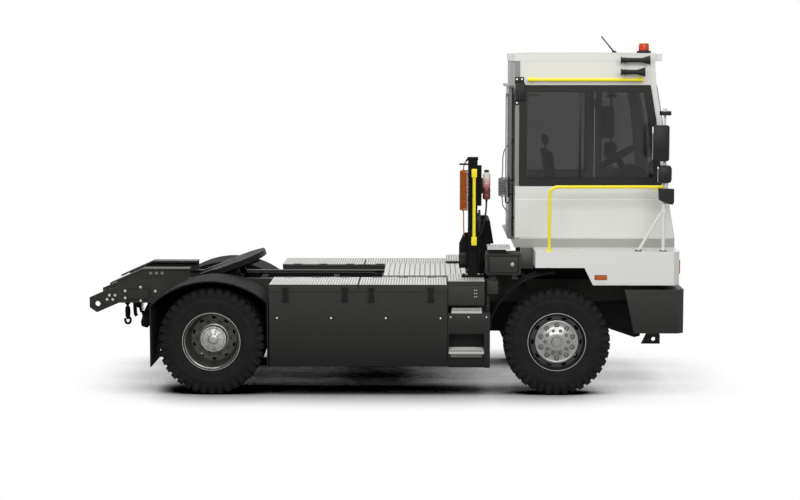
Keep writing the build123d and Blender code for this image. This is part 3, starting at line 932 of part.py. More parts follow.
# Fixed rear panes: right edge, left edge.
REAR_PANES = [(CAB_RIGHT_Y + 10, REAR_DOOR_RIGHT + 20), (REAR_DOOR_LEFT - 20, CAB_LEFT_Y - 10)]
cab_rear = block(CAB_REAR_X, CAB_REAR_X + WALL, CAB_RIGHT_Y, CAB_LEFT_Y, CAB_FLOOR_TOP, CAB_EAVE_Z)
cab_rear -= block(CAB_REAR_X - 9, CAB_REAR_X + WALL + 9, REAR_DOOR_RIGHT + REAR_LAP, REAR_DOOR_LEFT - REAR_LAP,
                  REAR_DOOR_LOW + REAR_LAP, REAR_DOOR_TOP - REAR_LAP)
for right, left in REAR_PANES:
    cab_rear -= block(CAB_REAR_X - 9, CAB_REAR_X + WALL + 9, right + 60, left - 60, SILL_Z + 42, PANE_TOP - 42)
for low, high in ((REAR_DOOR_LOW - 24, REAR_DOOR_LOW - SEAT), (REAR_DOOR_TOP + 5, REAR_DOOR_TOP + 34)):
    cab_rear += block(GUIDE_BACK, CAB_REAR_X + 2, REAR_DOOR_RIGHT - 20, guide_left, low, high)
save("cab_rear", cab_rear)
rear_door = block(REAR_DOOR_X - REAR_DOOR_SKIN, REAR_DOOR_X, REAR_DOOR_RIGHT, REAR_DOOR_LEFT, REAR_DOOR_LOW, REAR_DOOR_TOP)
rear_door -= block(REAR_DOOR_X - REAR_DOOR_SKIN - 9, REAR_DOOR_X + 9, REAR_DOOR_RIGHT + DOOR_RIM,
                   REAR_DOOR_LEFT - DOOR_RIM, SILL_Z + 2, REAR_DOOR_TOP - DOOR_RIM)
save("cab_door_rear", rear_door)

# Roof with a front visor.
ROOF_NOSE_X = CAB_NOSE_X - 222.0
VISOR = 76.0
roof = block(CAB_REAR_X - 10, ROOF_NOSE_X, CAB_RIGHT_Y, CAB_LEFT_Y, CAB_EAVE_Z, ROOF_TOP)
roof += block(ROOF_NOSE_X - 10, ROOF_NOSE_X + VISOR, CAB_RIGHT_Y + 60, CAB_LEFT_Y - 60, CAB_EAVE_Z, ROOF_TOP - 6)
save("cab_roof", roof)

# Glass: dark panes bonded on the outside of the openings.
GLASS = 6.0
screen = [point for point in front_line if SILL_Z <= point[1] <= HEAD_Z]
screen_out = [(x + GLASS + SEAT, z) for x, z in screen]
screen_in = [(x + SEAT, z) for x, z in screen]
glass = side_plate(screen_out + screen_in[::-1], CAB_RIGHT_Y + 20, CAB_LEFT_Y - 20)
PANE_EDGE = WALL + 8.0
glass += window(CAB_REAR_X + 43, SILL_Z, HEAD_Z, PANE_EDGE, CAB_RIGHT_Y - GLASS, CAB_RIGHT_Y)
glass += window(LEFT_DOOR_NOSE + 40, SILL_Z, HEAD_Z - 8, PANE_EDGE, CAB_LEFT_Y, CAB_LEFT_Y + GLASS)
for right, left in REAR_PANES:
    glass += block(CAB_REAR_X - GLASS, CAB_REAR_X, right, left, SILL_Z, PANE_TOP)
save("cab_glass", glass)
save("door_glass_left", block(LEFT_DOOR_REAR + DOOR_RIM - 20, LEFT_DOOR_NOSE - DOOR_RIM, CAB_LEFT_Y, CAB_LEFT_Y + GLASS,
                              SILL_Z + 22, LEFT_DOOR_TOP - DOOR_RIM + 20))
rear_face = REAR_DOOR_X - REAR_DOOR_SKIN
save("door_glass_rear", block(rear_face - GLASS, rear_face, REAR_DOOR_RIGHT + DOOR_RIM - 20, REAR_DOOR_LEFT - DOOR_RIM + 20,
                              SILL_Z - 18, REAR_DOOR_TOP - DOOR_RIM + 20))

# Inside the cab: seat on its pedestal, dashboard with steering column and wheel.
SEAT_X = CAB_REAR_X + 670.0
SEAT_Y = CAB_LEFT_Y - 850.0
SEAT_PAN_Z = CAB_FLOOR_TOP + 273.0
SEAT_TOP_Z = SEAT_PAN_Z + 130.0
SEAT_HALF = 250.0
seat = block(SEAT_X - 180, SEAT_X + 180, SEAT_Y - 200, SEAT_Y + 200, CAB_FLOOR_TOP, SEAT_PAN_Z)
seat += block(SEAT_X - 260, SEAT_X + 260, SEAT_Y - SEAT_HALF, SEAT_Y + SEAT_HALF, SEAT_PAN_Z, SEAT_TOP_Z)
seat += side_plate([(SEAT_X - 260, SEAT_TOP_Z - 5), (SEAT_X - 130, SEAT_TOP_Z - 5), (SEAT_X - 240, SEAT_TOP_Z + 690),
                    (SEAT_X - 340, SEAT_TOP_Z + 690)], SEAT_Y - SEAT_HALF + 10, SEAT_Y + SEAT_HALF - 10)
save("driver_seat", seat)
DASH_X = CAB_NOSE_X - 82.0
COLUMN_X = DASH_X - 425.0
COLUMN_Z = SILL_Z + 247.0
STEER_R = 225.0
STEER_RIM = 28.0
dash = side_plate([(DASH_X - 240, CAB_FLOOR_TOP), (DASH_X, CAB_FLOOR_TOP), (DASH_X, CAB_FLOOR_Z + 93),
                   (DASH_X - 55, SILL_Z - 18), (DASH_X - 140, SILL_Z + 102), (DASH_X - 340, SILL_Z + 62),
                   (DASH_X - 320, SILL_Z - 118)], CAB_RIGHT_Y + WALL + 40, CAB_LEFT_Y - WALL - 40)
dash += bar((DASH_X - 260, SEAT_Y, SILL_Z - 38), (COLUMN_X - 3, SEAT_Y, COLUMN_Z + 6), 35)
ring = frustum(STEER_R, -13, STEER_R, 13, RIM_SIDES) - frustum(STEER_R - STEER_RIM, -20, STEER_R - STEER_RIM, 20, RIM_SIDES)
ring += Box(40, 2 * STEER_R - STEER_RIM, 14)
dash += Plane(origin=(COLUMN_X, SEAT_Y, COLUMN_Z), z_dir=(-0.5, 0, 0.866)) * ring
save("dashboard", dash)

# Roof fittings: beacon foot, slanted aerial and two air horns on brackets from the cab side.
AERIAL_X = CAB_REAR_X + 1031.0
AERIAL_Y = CAB_RIGHT_Y + 300.0
fittings = bar((BEACON_X, BEACON_Y, ROOF_TOP), (BEACON_X, BEACON_Y, ROOF_TOP + BEACON_BASE), 73, HUB_SIDES)
fittings += bar((AERIAL_X, AERIAL_Y, ROOF_TOP), (AERIAL_X, AERIAL_Y, ROOF_TOP + 20), 22)
fittings += bar((AERIAL_X, AERIAL_Y, ROOF_TOP + 10), (AERIAL_X - 134, AERIAL_Y, ROOF_TOP + 174), 6)
# Horns: height under the roof's top, bell end, tail end.
HORNS = [(70, CAB_REAR_X + 1354, CAB_REAR_X + 1061), (190, CAB_REAR_X + 1305, CAB_REAR_X + 1063)]
BELL_LONG = 90.0
horn_y = CAB_RIGHT_Y - 95.0
for drop, bell, tail in HORNS:
    z = ROOF_TOP - drop
    fittings += bar((tail, horn_y, z), (bell - BELL_LONG, horn_y, z), 22)
    fittings += Plane(origin=(bell - BELL_LONG, horn_y, z), z_dir=(1, 0, 0)) * frustum(20, 0, 48, BELL_LONG, HUB_SIDES)
    fittings += block(tail + 30, tail + 70, horn_y, CAB_RIGHT_Y, z - 12, z + 12)
save("roof_fittings", fittings)

# Mirrors on both posts. Heads: rear edge, front edge, bottom, top, inner face and outer face from the arm.
HEADS = [(-129, 41, 2375, 2735, 15, 90), (-73, 70, 2154, 2335, 15, 90), (-50, 60, 2815, 2904, -70, 70)]
HEAD_BASE = CAB_FLOOR_Z - 1467.0
mirrors = Part()
for side, x, brace, rise in MIRROR_SIDES:
    y = side * POST_Y
    lift = HEAD_BASE + rise
    mirrors += bar((x, y, POST_TOP), (x, y, 2900 + lift), 13)
    for rear, front, low, high, near, far in HEADS:
        edges = sorted((y + side * near, y + side * far))
        mirrors += block(x + rear, x + front, edges[0], edges[1], low + lift, high + lift)
        if near > 0:
            mid = (low + high) / 2 + lift
            mirrors += block(x - 14, x + 14, min(y, y + side * 20), max(y, y + side * 20), mid - 20, mid + 20)
save("mirrors", mirrors)

# Yellow grab rails: the deck rail with one bend, and straight bars on stand-offs: start, end, direction of the stand-offs.
GRAB_R = 16.0
GRAB_BEND = 80.0
GRAB_OFF = 70.0
DECK_RAIL_X = FRONT_AXLE_X - 86.0
DECK_RAIL_Z = FRONT_DECK_TOP + 648.0
DECK_RAIL_Y = -(BODY_HALF - 60.0)
LEFT_RAIL_X = LEFT_DOOR_NOSE + 90.0
WINDOW_RAIL_Z = HEAD_Z + 54.0
MAST_RAIL_X = MAST_X + 12.0
window_rail_y = CAB_RIGHT_Y - GRAB_OFF
mast_rail_y = MAST_Y - MAST_DEEP - GRAB_OFF
left_rail_y = CAB_LEFT_Y + GRAB_OFF
rails = bent_bar([(DECK_RAIL_X, DECK_RAIL_Y, FRONT_DECK_TOP), (DECK_RAIL_X, DECK_RAIL_Y, DECK_RAIL_Z),
                  (POST_X - 13, -POST_Y - 13, DECK_RAIL_Z)], GRAB_R, GRAB_BEND)
GRAB_BARS = [
    ((CAB_REAR_X + 127, window_rail_y, WINDOW_RAIL_Z), (CAB_REAR_X + 1293, window_rail_y, WINDOW_RAIL_Z), 1),
    ((MAST_RAIL_X, mast_rail_y, MAST_FOOT_Z + 339), (MAST_RAIL_X, mast_rail_y, MAST_TOP - 115), 1),
    ((LEFT_RAIL_X, left_rail_y, CAB_FLOOR_Z + 183), (LEFT_RAIL_X, left_rail_y, SILL_Z - 48), -1)]
for start, end, toward in GRAB_BARS:
    rails += bar(start, end, GRAB_R)
    run = (Vector(*end) - Vector(*start)).normalized()
    for foot in (Vector(*start) + run * 30, Vector(*end) - run * 30):
        rails += bar(tuple(foot), (foot.X, foot.Y + toward * GRAB_OFF, foot.Z), GRAB_R - 3)
save("grab_rails", rails)

# Fluid bottle beside the mast: a waisted body with a cap, held by a lug, and the hose that drains it to the mast.
BOTTLE_SIDES = 16
BOTTLE_X = MAST_X + 140.0
BOTTLE_R = 41.0
BOTTLE_LOW = MAST_TOP - 428.0
# Bottle rings: height above the bottom, radius.
BOTTLE_RINGS = [(0, 30), (18, BOTTLE_R), (250, BOTTLE_R), (280, 24), (303, 24)]
HOSE_R = 9.0
bottle = Part()
for (z0, r0), (z1, r1) in zip(BOTTLE_RINGS, BOTTLE_RINGS[1:]):
    bottle += Pos(BOTTLE_X, MAST_Y, BOTTLE_LOW) * frustum(r0, z0, r1, z1, BOTTLE_SIDES)
bottle += block(BRACKET_X, BOTTLE_X - BOTTLE_R + 12, MAST_Y - 12, MAST_Y + 12, BOTTLE_LOW + 60, BOTTLE_LOW + 220)
bottle += bent_bar([(BOTTLE_X, MAST_Y, BOTTLE_LOW + 5), (BOTTLE_X, MAST_Y, BOTTLE_LOW - 250),
                    (MAST_X + MAST_HALF, MAST_Y, BOTTLE_LOW - 420)], HOSE_R, 260)
mast_room = block(MAST_X - MAST_HALF, MAST_X + MAST_HALF, MAST_Y - MAST_DEEP, MAST_Y + MAST_DEEP, MAST_FOOT_Z, MAST_TOP)
save("fluid_bottle", bottle - mast_room)

# Coiled leads: a plain tube at each coil's outer size, with leads that bend once toward what they plug into.
COIL_SIDES = 16


def coiled(axis_x, axis_y, low, high, radius, lead, tails):
    """A coil with its leads; each tail is three points, and its bend is as large as its runs allow."""
    coil = bar((axis_x, axis_y, low), (axis_x, axis_y, high), radius, COIL_SIDES)
    for first, corner, last in tails:
        one = Vector(*corner) - Vector(*first)
        two = Vector(*last) - Vector(*corner)
        half_turn = radians(one.get_angle(two) / 2)
        bend = 0.45 * min(one.length, two.length) * cos(half_turn) / sin(half_turn)
        coil += bent_bar([first, corner, last], lead, bend)
    return coil


ORANGE_X = MAST_X - 92.0
ORANGE_Y = MAST_Y - 10.0
ORANGE_LOW = MAST_TOP - 551.0
ORANGE_HIGH = MAST_TOP - 118.0
orange = coiled(ORANGE_X, ORANGE_Y, ORANGE_LOW, ORANGE_HIGH, 43, 6,
                [((ORANGE_X, ORANGE_Y, ORANGE_HIGH - 10), (ORANGE_X, ORANGE_Y, ORANGE_HIGH + 55),
                  (MAST_X - MAST_HALF, ORANGE_Y, ORANGE_HIGH + 105)),
                 ((ORANGE_X, ORANGE_Y, ORANGE_LOW + 10), (ORANGE_X, ORANGE_Y, ORANGE_LOW - 200),
                  (ORANGE_X + 10, MAST_Y + MAST_DEEP, PANEL_LOW + 300))])
panel_room = block(MAST_X - 137, MAST_X + 20, MAST_Y + MAST_DEEP, MAST_Y + MAST_DEEP + 20, PANEL_LOW, PANEL_LOW + 380)
save("coil_orange", orange - mast_room - panel_room)
GREY_X = CAB_REAR_X - 118.0
GREY_Y = CAB_RIGHT_Y + 110.0
GREY_LOW = SILL_Z - 125.0
GREY_HIGH = GREY_LOW + 213.0
pane_face = CAB_REAR_X - GLASS
grey = coiled(GREY_X, GREY_Y, GREY_LOW, GREY_HIGH, 48, 6,
              [((GREY_X, GREY_Y, GREY_HIGH - 10), (GREY_X, GREY_Y, GREY_HIGH + 300), (pane_face, GREY_Y, GREY_HIGH + 400)),
               ((GREY_X, GREY_Y, GREY_LOW + 10), (GREY_X, GREY_Y, GREY_LOW - 100), (CAB_REAR_X, GREY_Y, GREY_LOW - 215))])
grey -= block(pane_face, CAB_REAR_X + WALL, GREY_Y - 99, GREY_Y + 99, SILL_Z, HEAD_Z)
grey -= block(CAB_REAR_X, CAB_REAR_X + WALL, GREY_Y - 99, GREY_Y + 99, CAB_FLOOR_TOP, SILL_Z)
save("coil_grey", grey)
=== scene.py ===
import json
from math import cos, pi, radians, sin

import bmesh
import bpy
from mathutils import Matrix, Vector

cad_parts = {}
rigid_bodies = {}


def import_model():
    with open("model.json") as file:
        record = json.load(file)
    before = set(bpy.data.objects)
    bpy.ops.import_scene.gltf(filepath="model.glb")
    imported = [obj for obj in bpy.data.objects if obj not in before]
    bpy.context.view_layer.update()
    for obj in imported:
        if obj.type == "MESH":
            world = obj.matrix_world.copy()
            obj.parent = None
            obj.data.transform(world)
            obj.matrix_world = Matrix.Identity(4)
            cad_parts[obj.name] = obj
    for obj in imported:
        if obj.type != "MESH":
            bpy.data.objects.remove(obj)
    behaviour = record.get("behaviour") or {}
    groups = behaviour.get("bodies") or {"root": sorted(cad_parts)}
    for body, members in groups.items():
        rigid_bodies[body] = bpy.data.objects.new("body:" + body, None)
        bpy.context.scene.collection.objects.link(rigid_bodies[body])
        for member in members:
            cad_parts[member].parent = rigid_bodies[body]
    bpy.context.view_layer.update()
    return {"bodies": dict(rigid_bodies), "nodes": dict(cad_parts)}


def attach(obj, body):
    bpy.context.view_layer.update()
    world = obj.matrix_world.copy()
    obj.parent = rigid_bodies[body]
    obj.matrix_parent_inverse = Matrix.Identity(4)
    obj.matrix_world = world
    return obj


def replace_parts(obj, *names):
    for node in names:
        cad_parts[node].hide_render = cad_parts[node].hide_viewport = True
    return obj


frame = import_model()

# Studio. The photograph looks level along -Y at the right side with a long lens from 20 m away.
# The tractor stands on a seamless white floor under a wide softbox, with a fill panel behind the camera.


def linear(hex_code):
    """An sRGB hex colour as linear RGBA."""
    parts = [int(hex_code[n:n + 2], 16) / 255 for n in (1, 3, 5)]
    return tuple(p / 12.92 if p <= 0.04045 else ((p + 0.055) / 1.055) ** 2.4 for p in parts) + (1.0,)


def feed(tree, node, feeds):
    """Gives a node's inputs, by name or number, a value or another node's output."""
    for key, value in feeds.items():
        if isinstance(value, bpy.types.NodeSocket):
            tree.links.new(value, node.inputs[key])
        else:
            node.inputs[key].default_value = value


def add_node(tree, kind, feeds=None, **settings):
    """Adds a shader node with its settings and links."""
    made = tree.nodes.new("ShaderNode" + kind)
    for key, value in settings.items():
        setattr(made, key, value)
    feed(tree, made, feeds or {})
    return made


def seen_by_eye(tree):
    """1 for rays that show the white room, also in metal and glass; 0 for rays that light things."""
    ray = add_node(tree, "LightPath").outputs
    shown = add_node(tree, "Math", {0: ray["Is Camera Ray"], 1: ray["Is Glossy Ray"]}, operation="MAXIMUM")
    return add_node(tree, "Math", {0: shown.outputs[0], 1: ray["Is Transmission Ray"]},
                    operation="MAXIMUM").outputs[0]


def place(obj):
    """Puts an object in the scene."""
    bpy.context.scene.collection.objects.link(obj)
    return obj


lens = bpy.data.cameras.new("long_lens")
lens.lens = 84.51
lens.sensor_width = 36.0
lens.clip_end = 200.0
camera = place(bpy.data.objects.new("camera", lens))
camera.location = (0.4989, -20.0, 3.4262)
camera.rotation_euler = (radians(90 - 5.913), 0, radians(0.87))
bpy.context.scene.camera = camera
bpy.context.scene.view_settings.view_transform = "Standard"

SOFTBOXES = (("top_softbox", (0.0, -0.8, 8.0), (0, 0, 0), 10.0, 5.0, 400.0),
             ("camera_fill", (1.6, -11.5, 6.6), (radians(63), 0, 0), 12.0, 4.0, 900.0),
             ("back_fill", (0.0, 12.0, 7.0), (radians(-62), 0, 0), 12.0, 4.0, 200.0))
for name, where, turn, wide, deep, watts in SOFTBOXES:
    lamp = bpy.data.lights.new(name, "AREA")
    lamp.shape = "RECTANGLE"
    lamp.size = wide
    lamp.size_y = deep
    lamp.energy = watts
    softbox = place(bpy.data.objects.new(name, lamp))
    softbox.location = where
    softbox.rotation_euler = turn

world = bpy.data.worlds.new("white_studio")
bpy.context.scene.world = world
world.use_nodes = True
air = world.node_tree
air.nodes.clear()
room = add_node(air, "Background", {"Color": linear("#F4F5F6"), "Strength": 0.12})
white = add_node(air, "Background", {"Color": (1, 1, 1, 1), "Strength": 1.0})
sky = add_node(air, "MixShader", {0: seen_by_eye(air), 1: room.outputs[0], 2: white.outputs[0]})
add_node(air, "OutputWorld", {"Surface": sky.outputs[0]})

# The floor is white paper, laid without a seam.
# The eye sees it shaded only where the tractor shuts off the room's light from above.
floor_paper = bpy.data.materials.new("white_paper_floor")
floor_paper.use_nodes = True
paper = floor_paper.node_tree
paper.nodes.clear()
room_light = add_node(paper, "AmbientOcclusion", {"Distance": 1.15}, samples=16)
opened = add_node(paper, "MapRange", {"Value": room_light.outputs["AO"], "From Min": 0.40,
                                      "From Max": 0.90})
card = add_node(paper, "BsdfDiffuse", {"Color": linear("#C8C8C8")})
glow = add_node(paper, "Emission", {"Color": (1, 1, 1, 1), "Strength": opened.outputs[0]})
sheet = add_node(paper, "MixShader", {0: seen_by_eye(paper), 1: card.outputs[0], 2: glow.outputs[0]})
add_node(paper, "OutputMaterial", {"Surface": sheet.outputs[0]})
floor_mesh = bpy.data.meshes.new("floor")
floor_mesh.from_pydata([(-60, -60, 0), (60, -60, 0), (60, 60, 0), (-60, 60, 0)], [], [(0, 1, 2, 3)])
floor_mesh.materials.append(floor_paper)
floor = place(bpy.data.objects.new("floor", floor_mesh))

# Frame rails and cross members. Pressed steel channels, bolted and welded up, dipped in matt black chassis
# paint. Thick paint leaves a soft orange peel; edges are rounded by the brake press, and dust greys the
# lower faces.


def new_material(name):
    """A new material, its tree, its surface shader and the place of a point on the piece."""
    material = bpy.data.materials.new(name)
    material.use_nodes = True
    tree = material.node_tree
    return material, tree, tree.nodes["Principled BSDF"], add_node(tree, "TexCoord").outputs["Object"]


def sprayed_paint(name, colour, lower_tone, roughness, peel_mm, edge_mm, shine=0.15):
    """Sprayed paint on sheet metal: orange peel, soft edges, dust that thins out upward, duller patches."""
    material, tree, skin, spot = new_material(name)
    peel = add_node(tree, "TexNoise", {"Vector": spot, "Scale": 1000 / peel_mm, "Detail": 3.0})
    patch = add_node(tree, "TexNoise", {"Vector": spot, "Scale": 2.2, "Detail": 4.0})
    height = add_node(tree, "SeparateXYZ", {0: spot})
    toward_ground = add_node(tree, "MapRange", {"Value": height.outputs["Z"], "From Min": 1.5, "From Max": 0.2,
                                         "To Max": 0.55})
    dust = add_node(tree, "Math", {0: toward_ground.outputs[0], 1: patch.outputs[0]}, operation="MULTIPLY")
    tone = add_node(tree, "Mix", {0: dust.outputs[0], 6: linear(colour), 7: linear(lower_tone)},
                    data_type="RGBA")
    dull = add_node(tree, "MapRange", {"Value": patch.outputs[0], "From Min": 0.3, "From Max": 0.7,
                                       "To Min": roughness - 0.06, "To Max": roughness + 0.08})
    edge = add_node(tree, "Bevel", {"Radius": edge_mm / 1000}, samples=4)
    bump = add_node(tree, "Bump", {"Strength": 0.08, "Distance": 0.001, "Height": peel.outputs[0],
                                   "Normal": edge.outputs[0]})
    feed(tree, skin, {"Base Color": tone.outputs[2], "Roughness": dull.outputs[0],
                      "Normal": bump.outputs[0], "Specular IOR Level": shine})
    return material


def dress(material, *nodes):
    """Gives CAD nodes their finish."""
    for name in nodes:
        frame["nodes"][name].material_slots[0].material = material


chassis_black = sprayed_paint("matt_black_chassis_paint", "#121212", "#1A1918", 0.72, 9.0, 4.0, 0.1)
dress(chassis_black, "cross_members", "lift_boom", "lift_barrels", "tie_rod", "hose_mast", "oil_tank")

# Bolts of the frame. Zinc-plated hexagon bolts with washers, bright against the black rails. Each is a
# turned washer with a bevelled six-sided head on it; the table gives x, z and the face it sits on.
zinc, tree, skin, spot = new_material("zinc_plated_steel")
grit = add_node(tree, "TexNoise", {"Vector": spot, "Scale": 260.0, "Detail": 3.0})
dull = add_node(tree, "MapRange", {"Value": grit.outputs[0], "To Min": 0.22, "To Max": 0.42})
tone = add_node(tree, "Mix", {0: grit.outputs[0], 6: linear("#D8D8D2"), 7: linear("#A9A9A2")},
                data_type="RGBA")
feed(tree, skin, {"Base Color": tone.outputs[2], "Roughness": dull.outputs[0], "Metallic": 0.9})


def finished(name, work, material, body="vehicle", smooth=35.0):
    """Turns a bmesh into a piece that rides on a body; edges sharper than the angle stay crisp."""
    bmesh.ops.recalc_face_normals(work, faces=work.faces)
    mesh = bpy.data.meshes.new(name)
    work.to_mesh(mesh)
    work.free()
    mesh.materials.append(material)
    piece = place(bpy.data.objects.new(name, mesh))
    if smooth:
        mesh.shade_smooth()
        mesh.set_sharp_from_angle(angle=radians(smooth))
    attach(piece, body)
    return piece


def turn_profile(work, profile, steps, at=Matrix(), close=False):
    """Spins a line of (radius, along) points round Z into the bmesh."""
    rings = []
    for radius, along in profile:
        if radius < 1e-6:
            rings.append([work.verts.new(at @ Vector((0, 0, along)))] * steps)
        else:
            rings.append([work.verts.new(at @ Vector((radius * cos(2 * pi * n / steps),
                                                      radius * sin(2 * pi * n / steps),
                                                      along))) for n in range(steps)])
    pairs = list(zip(rings, rings[1:]))
    if close:
        pairs.append((rings[-1], rings[0]))
    for low, high in pairs:
        for n in range(steps):
            after = (n + 1) % steps
            corners = []
            for vert in (low[n], low[after], high[after], high[n]):
                if vert not in corners:
                    corners.append(vert)
            if len(corners) > 2:
                work.faces.new(corners)


def outward(x, y, z, along):
    """A place whose own Z axis points along a direction."""
    return Matrix.Translation((x, y, z)) @ Vector(along).to_track_quat("Z", "Y").to_matrix().to_4x4()


def add_bolt(work, at, radius):
    """A washer with a bevelled hexagon head."""
    turn_profile(work, [(0, 0), (radius * 1.45, 0), (radius * 1.45, radius * 0.18), (0, radius * 0.18)], 16,
                 at)
    turn_profile(work, [(radius, radius * 0.15), (radius, radius * 0.75), (radius * 0.86, radius * 0.9),
                        (0, radius * 0.9)], 6, at)


RAIL_FACE = 0.430
TOW_FACE = 0.420
FRAME_BOLTS = ((-2.735, 0.960, TOW_FACE), (-2.735, 0.900, TOW_FACE), (-2.665, 0.965, TOW_FACE),
               (-2.665, 0.898, TOW_FACE), (-2.800, 0.915, TOW_FACE), (-2.825, 0.870, TOW_FACE),
               (-2.860, 0.915, TOW_FACE), (-2.885, 0.870, TOW_FACE), (-2.692, 0.962, RAIL_FACE),
               (-2.692, 0.888, RAIL_FACE), (-2.529, 1.002, RAIL_FACE), (-2.529, 0.860, RAIL_FACE),
               (-2.373, 0.960, RAIL_FACE), (-1.95, 0.95, RAIL_FACE), (-1.45, 0.95, RAIL_FACE))
work = bmesh.new()
for x, z, face in FRAME_BOLTS:
    for side in (-1, 1):
        add_bolt(work, outward(x, side * face, z, (0, side, 0)), 0.0095)
finished("frame_bolts", work, zinc)

# Ramp edges. The tops of the tail ramps are polished bright where trailers slide up, with three bolts in
# each web. A thin strip of bare worn steel lies along both edges of each ramp.
worn, tree, skin, spot = new_material("bare_worn_steel")
drawn = add_node(tree, "Mapping", {"Vector": spot, "Scale": (6, 90, 90)})
scratch = add_node(tree, "TexNoise", {"Vector": drawn.outputs[0], "Scale": 4.0, "Detail": 5.0})
tone = add_node(tree, "Mix", {0: scratch.outputs[0], 6: linear("#3A3937"), 7: linear("#A3A19C")},
                data_type="RGBA")
feed(tree, skin, {"Base Color": tone.outputs[2], "Metallic": 0.85, "Roughness": 0.38})


def add_block(work, corner, across, round_mm=0.0, at=Matrix()):
    """A box between two opposite corners, with rounded edges."""
    made = bmesh.ops.create_cube(work, size=1.0)["verts"]
    low, high = (Vector(ends) for ends in zip(*map(sorted, zip(corner, across))))
    size = high - low
    for vert in made:
        vert.co = at @ Vector([low[n] + (vert.co[n] + 0.5) * size[n] for n in range(3)])
    if round_mm:
        edges = list({edge for vert in made for edge in vert.link_edges})
        bmesh.ops.bevel(work, geom=edges, offset=round_mm / 1000, segments=2, profile=0.5, affect="EDGES")


def add_prism(work, outline, start, end, axes="xz"):
    """An outline in two axes pulled along the third."""
    layers = []
    for level in (start, end):
        layer = []
        for a, b in outline:
            point = {"xz": (a, level, b), "xy": (a, b, level), "yz": (level, a, b)}[axes]
            layer.append(work.verts.new(point))
        layers.append(layer)
    work.faces.new(layers[0])
    work.faces.new(layers[1][::-1])
    for n in range(len(outline)):
        after = (n + 1) % len(outline)
        work.faces.new((layers[0][n], layers[0][after], layers[1][after], layers[1][n]))


RAMP_LINE = ((-2.845, 1.048), (-2.500, 1.203), (-2.012, 1.203))
work = bmesh.new()
for side in (-1, 1):
    strip = list(RAMP_LINE) + [(x, z - 0.006) for x, z in RAMP_LINE[::-1]]
    add_prism(work, strip, side * 0.300, side * 0.312)
    add_prism(work, strip, side * 0.428, side * 0.439)
    for x in (-2.42, -2.36, -2.30):
        add_bolt(work, outward(x, side * 0.420, 1.150, (0, side, 0)), 0.011)
finished("ramp_edges", work, worn, smooth=30)

# Tail couplings. A forged hook, air couplings, a brake chamber and a tension spring hang under the tail on
# a folded bracket. The hook is bent round bar with a forged eye; the chamber is a pressed steel drum.


def add_tube(work, points, radius, steps=10, shut=True):
    """A round bar along points; each ring lies square to the line."""
    points = [Vector(p) for p in points]
    rings = []
    across = None
    for n, point in enumerate(points):
        line = (points[min(n + 1, len(points) - 1)] - points[max(n - 1, 0)]).normalized()
        if across is None:
            across = line.orthogonal().normalized()
        across = (across - line * across.dot(line)).normalized()
        other = line.cross(across)
        size = radius[n] if isinstance(radius, (list, tuple)) else radius
        rings.append([work.verts.new(point
                                     + (across * cos(2 * pi * k / steps)
                                        + other * sin(2 * pi * k / steps)) * size)
                      for k in range(steps)])
    for low, high in zip(rings, rings[1:]):
        for k in range(steps):
            after = (k + 1) % steps
            work.faces.new((low[k], low[after], high[after], high[k]))
    if shut:
        work.faces.new(rings[0][::-1])
        work.faces.new(rings[-1])


work = bmesh.new()
add_block(work, (-2.78, -0.16, 0.822), (-2.40, 0.16, 0.834), 3)
add_block(work, (-2.71, -0.16, 0.826), (-2.63, 0.16, 0.856), 3)
hook = [(-2.755, 0.12, 0.826), (-2.755, 0.12, 0.62)]
hook += [(-2.755 + 0.030 * sin(a), 0.12, 0.575 + 0.036 * cos(a))
         for a in [radians(20 * n) for n in range(16)]]
add_tube(work, hook, 0.0135)
turn_profile(work, [(0.0, 0), (0.024, 0.012), (0.030, 0.06), (0.026, 0.12), (0.012, 0.15), (0, 0.15)], 20,
             outward(-2.755, 0.12, 0.735, (0, 0, -1)))
turn_profile(work, [(0.012, -0.012), (0.030, -0.009), (0.030, 0.009), (0.012, 0.012)], 18,
             outward(-2.755, 0.12, 0.770, (0, 1, 0)), close=True)
add_tube(work, [(-2.50, 0.04, 0.826), (-2.50, 0.04, 0.76), (-2.505, 0.04, 0.70)], 0.030, 16)
drum = [(0, -0.150), (0.040, -0.145), (0.056, -0.10), (0.060, -0.010), (0.066, 0), (0.060, 0.010),
        (0.054, 0.080), (0.036, 0.115), (0, 0.120)]
turn_profile(work, drum, 28, outward(-2.525, 0.04, 0.625, (-0.36, 0, -1)))
add_block(work, (-2.670, -0.06, 0.735), (-2.585, 0.02, 0.826), 8)
add_tube(work, [(-2.655, -0.02, 0.74), (-2.650, -0.02, 0.66), (-2.635, -0.02, 0.640)], 0.020, 12)
add_tube(work, [(-2.600, -0.02, 0.74), (-2.590, -0.02, 0.69), (-2.560, 0.01, 0.670)], 0.014, 12)
coils = [(-2.560 + 0.014 * cos(a), -0.08 + 0.014 * sin(a), 0.826 - 0.0022 * a)
         for a in [pi * n / 5 for n in range(120)]]
add_tube(work, coils, 0.003, 6)
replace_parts(finished("tail_hooks", work, chassis_black), "tail_couplings")

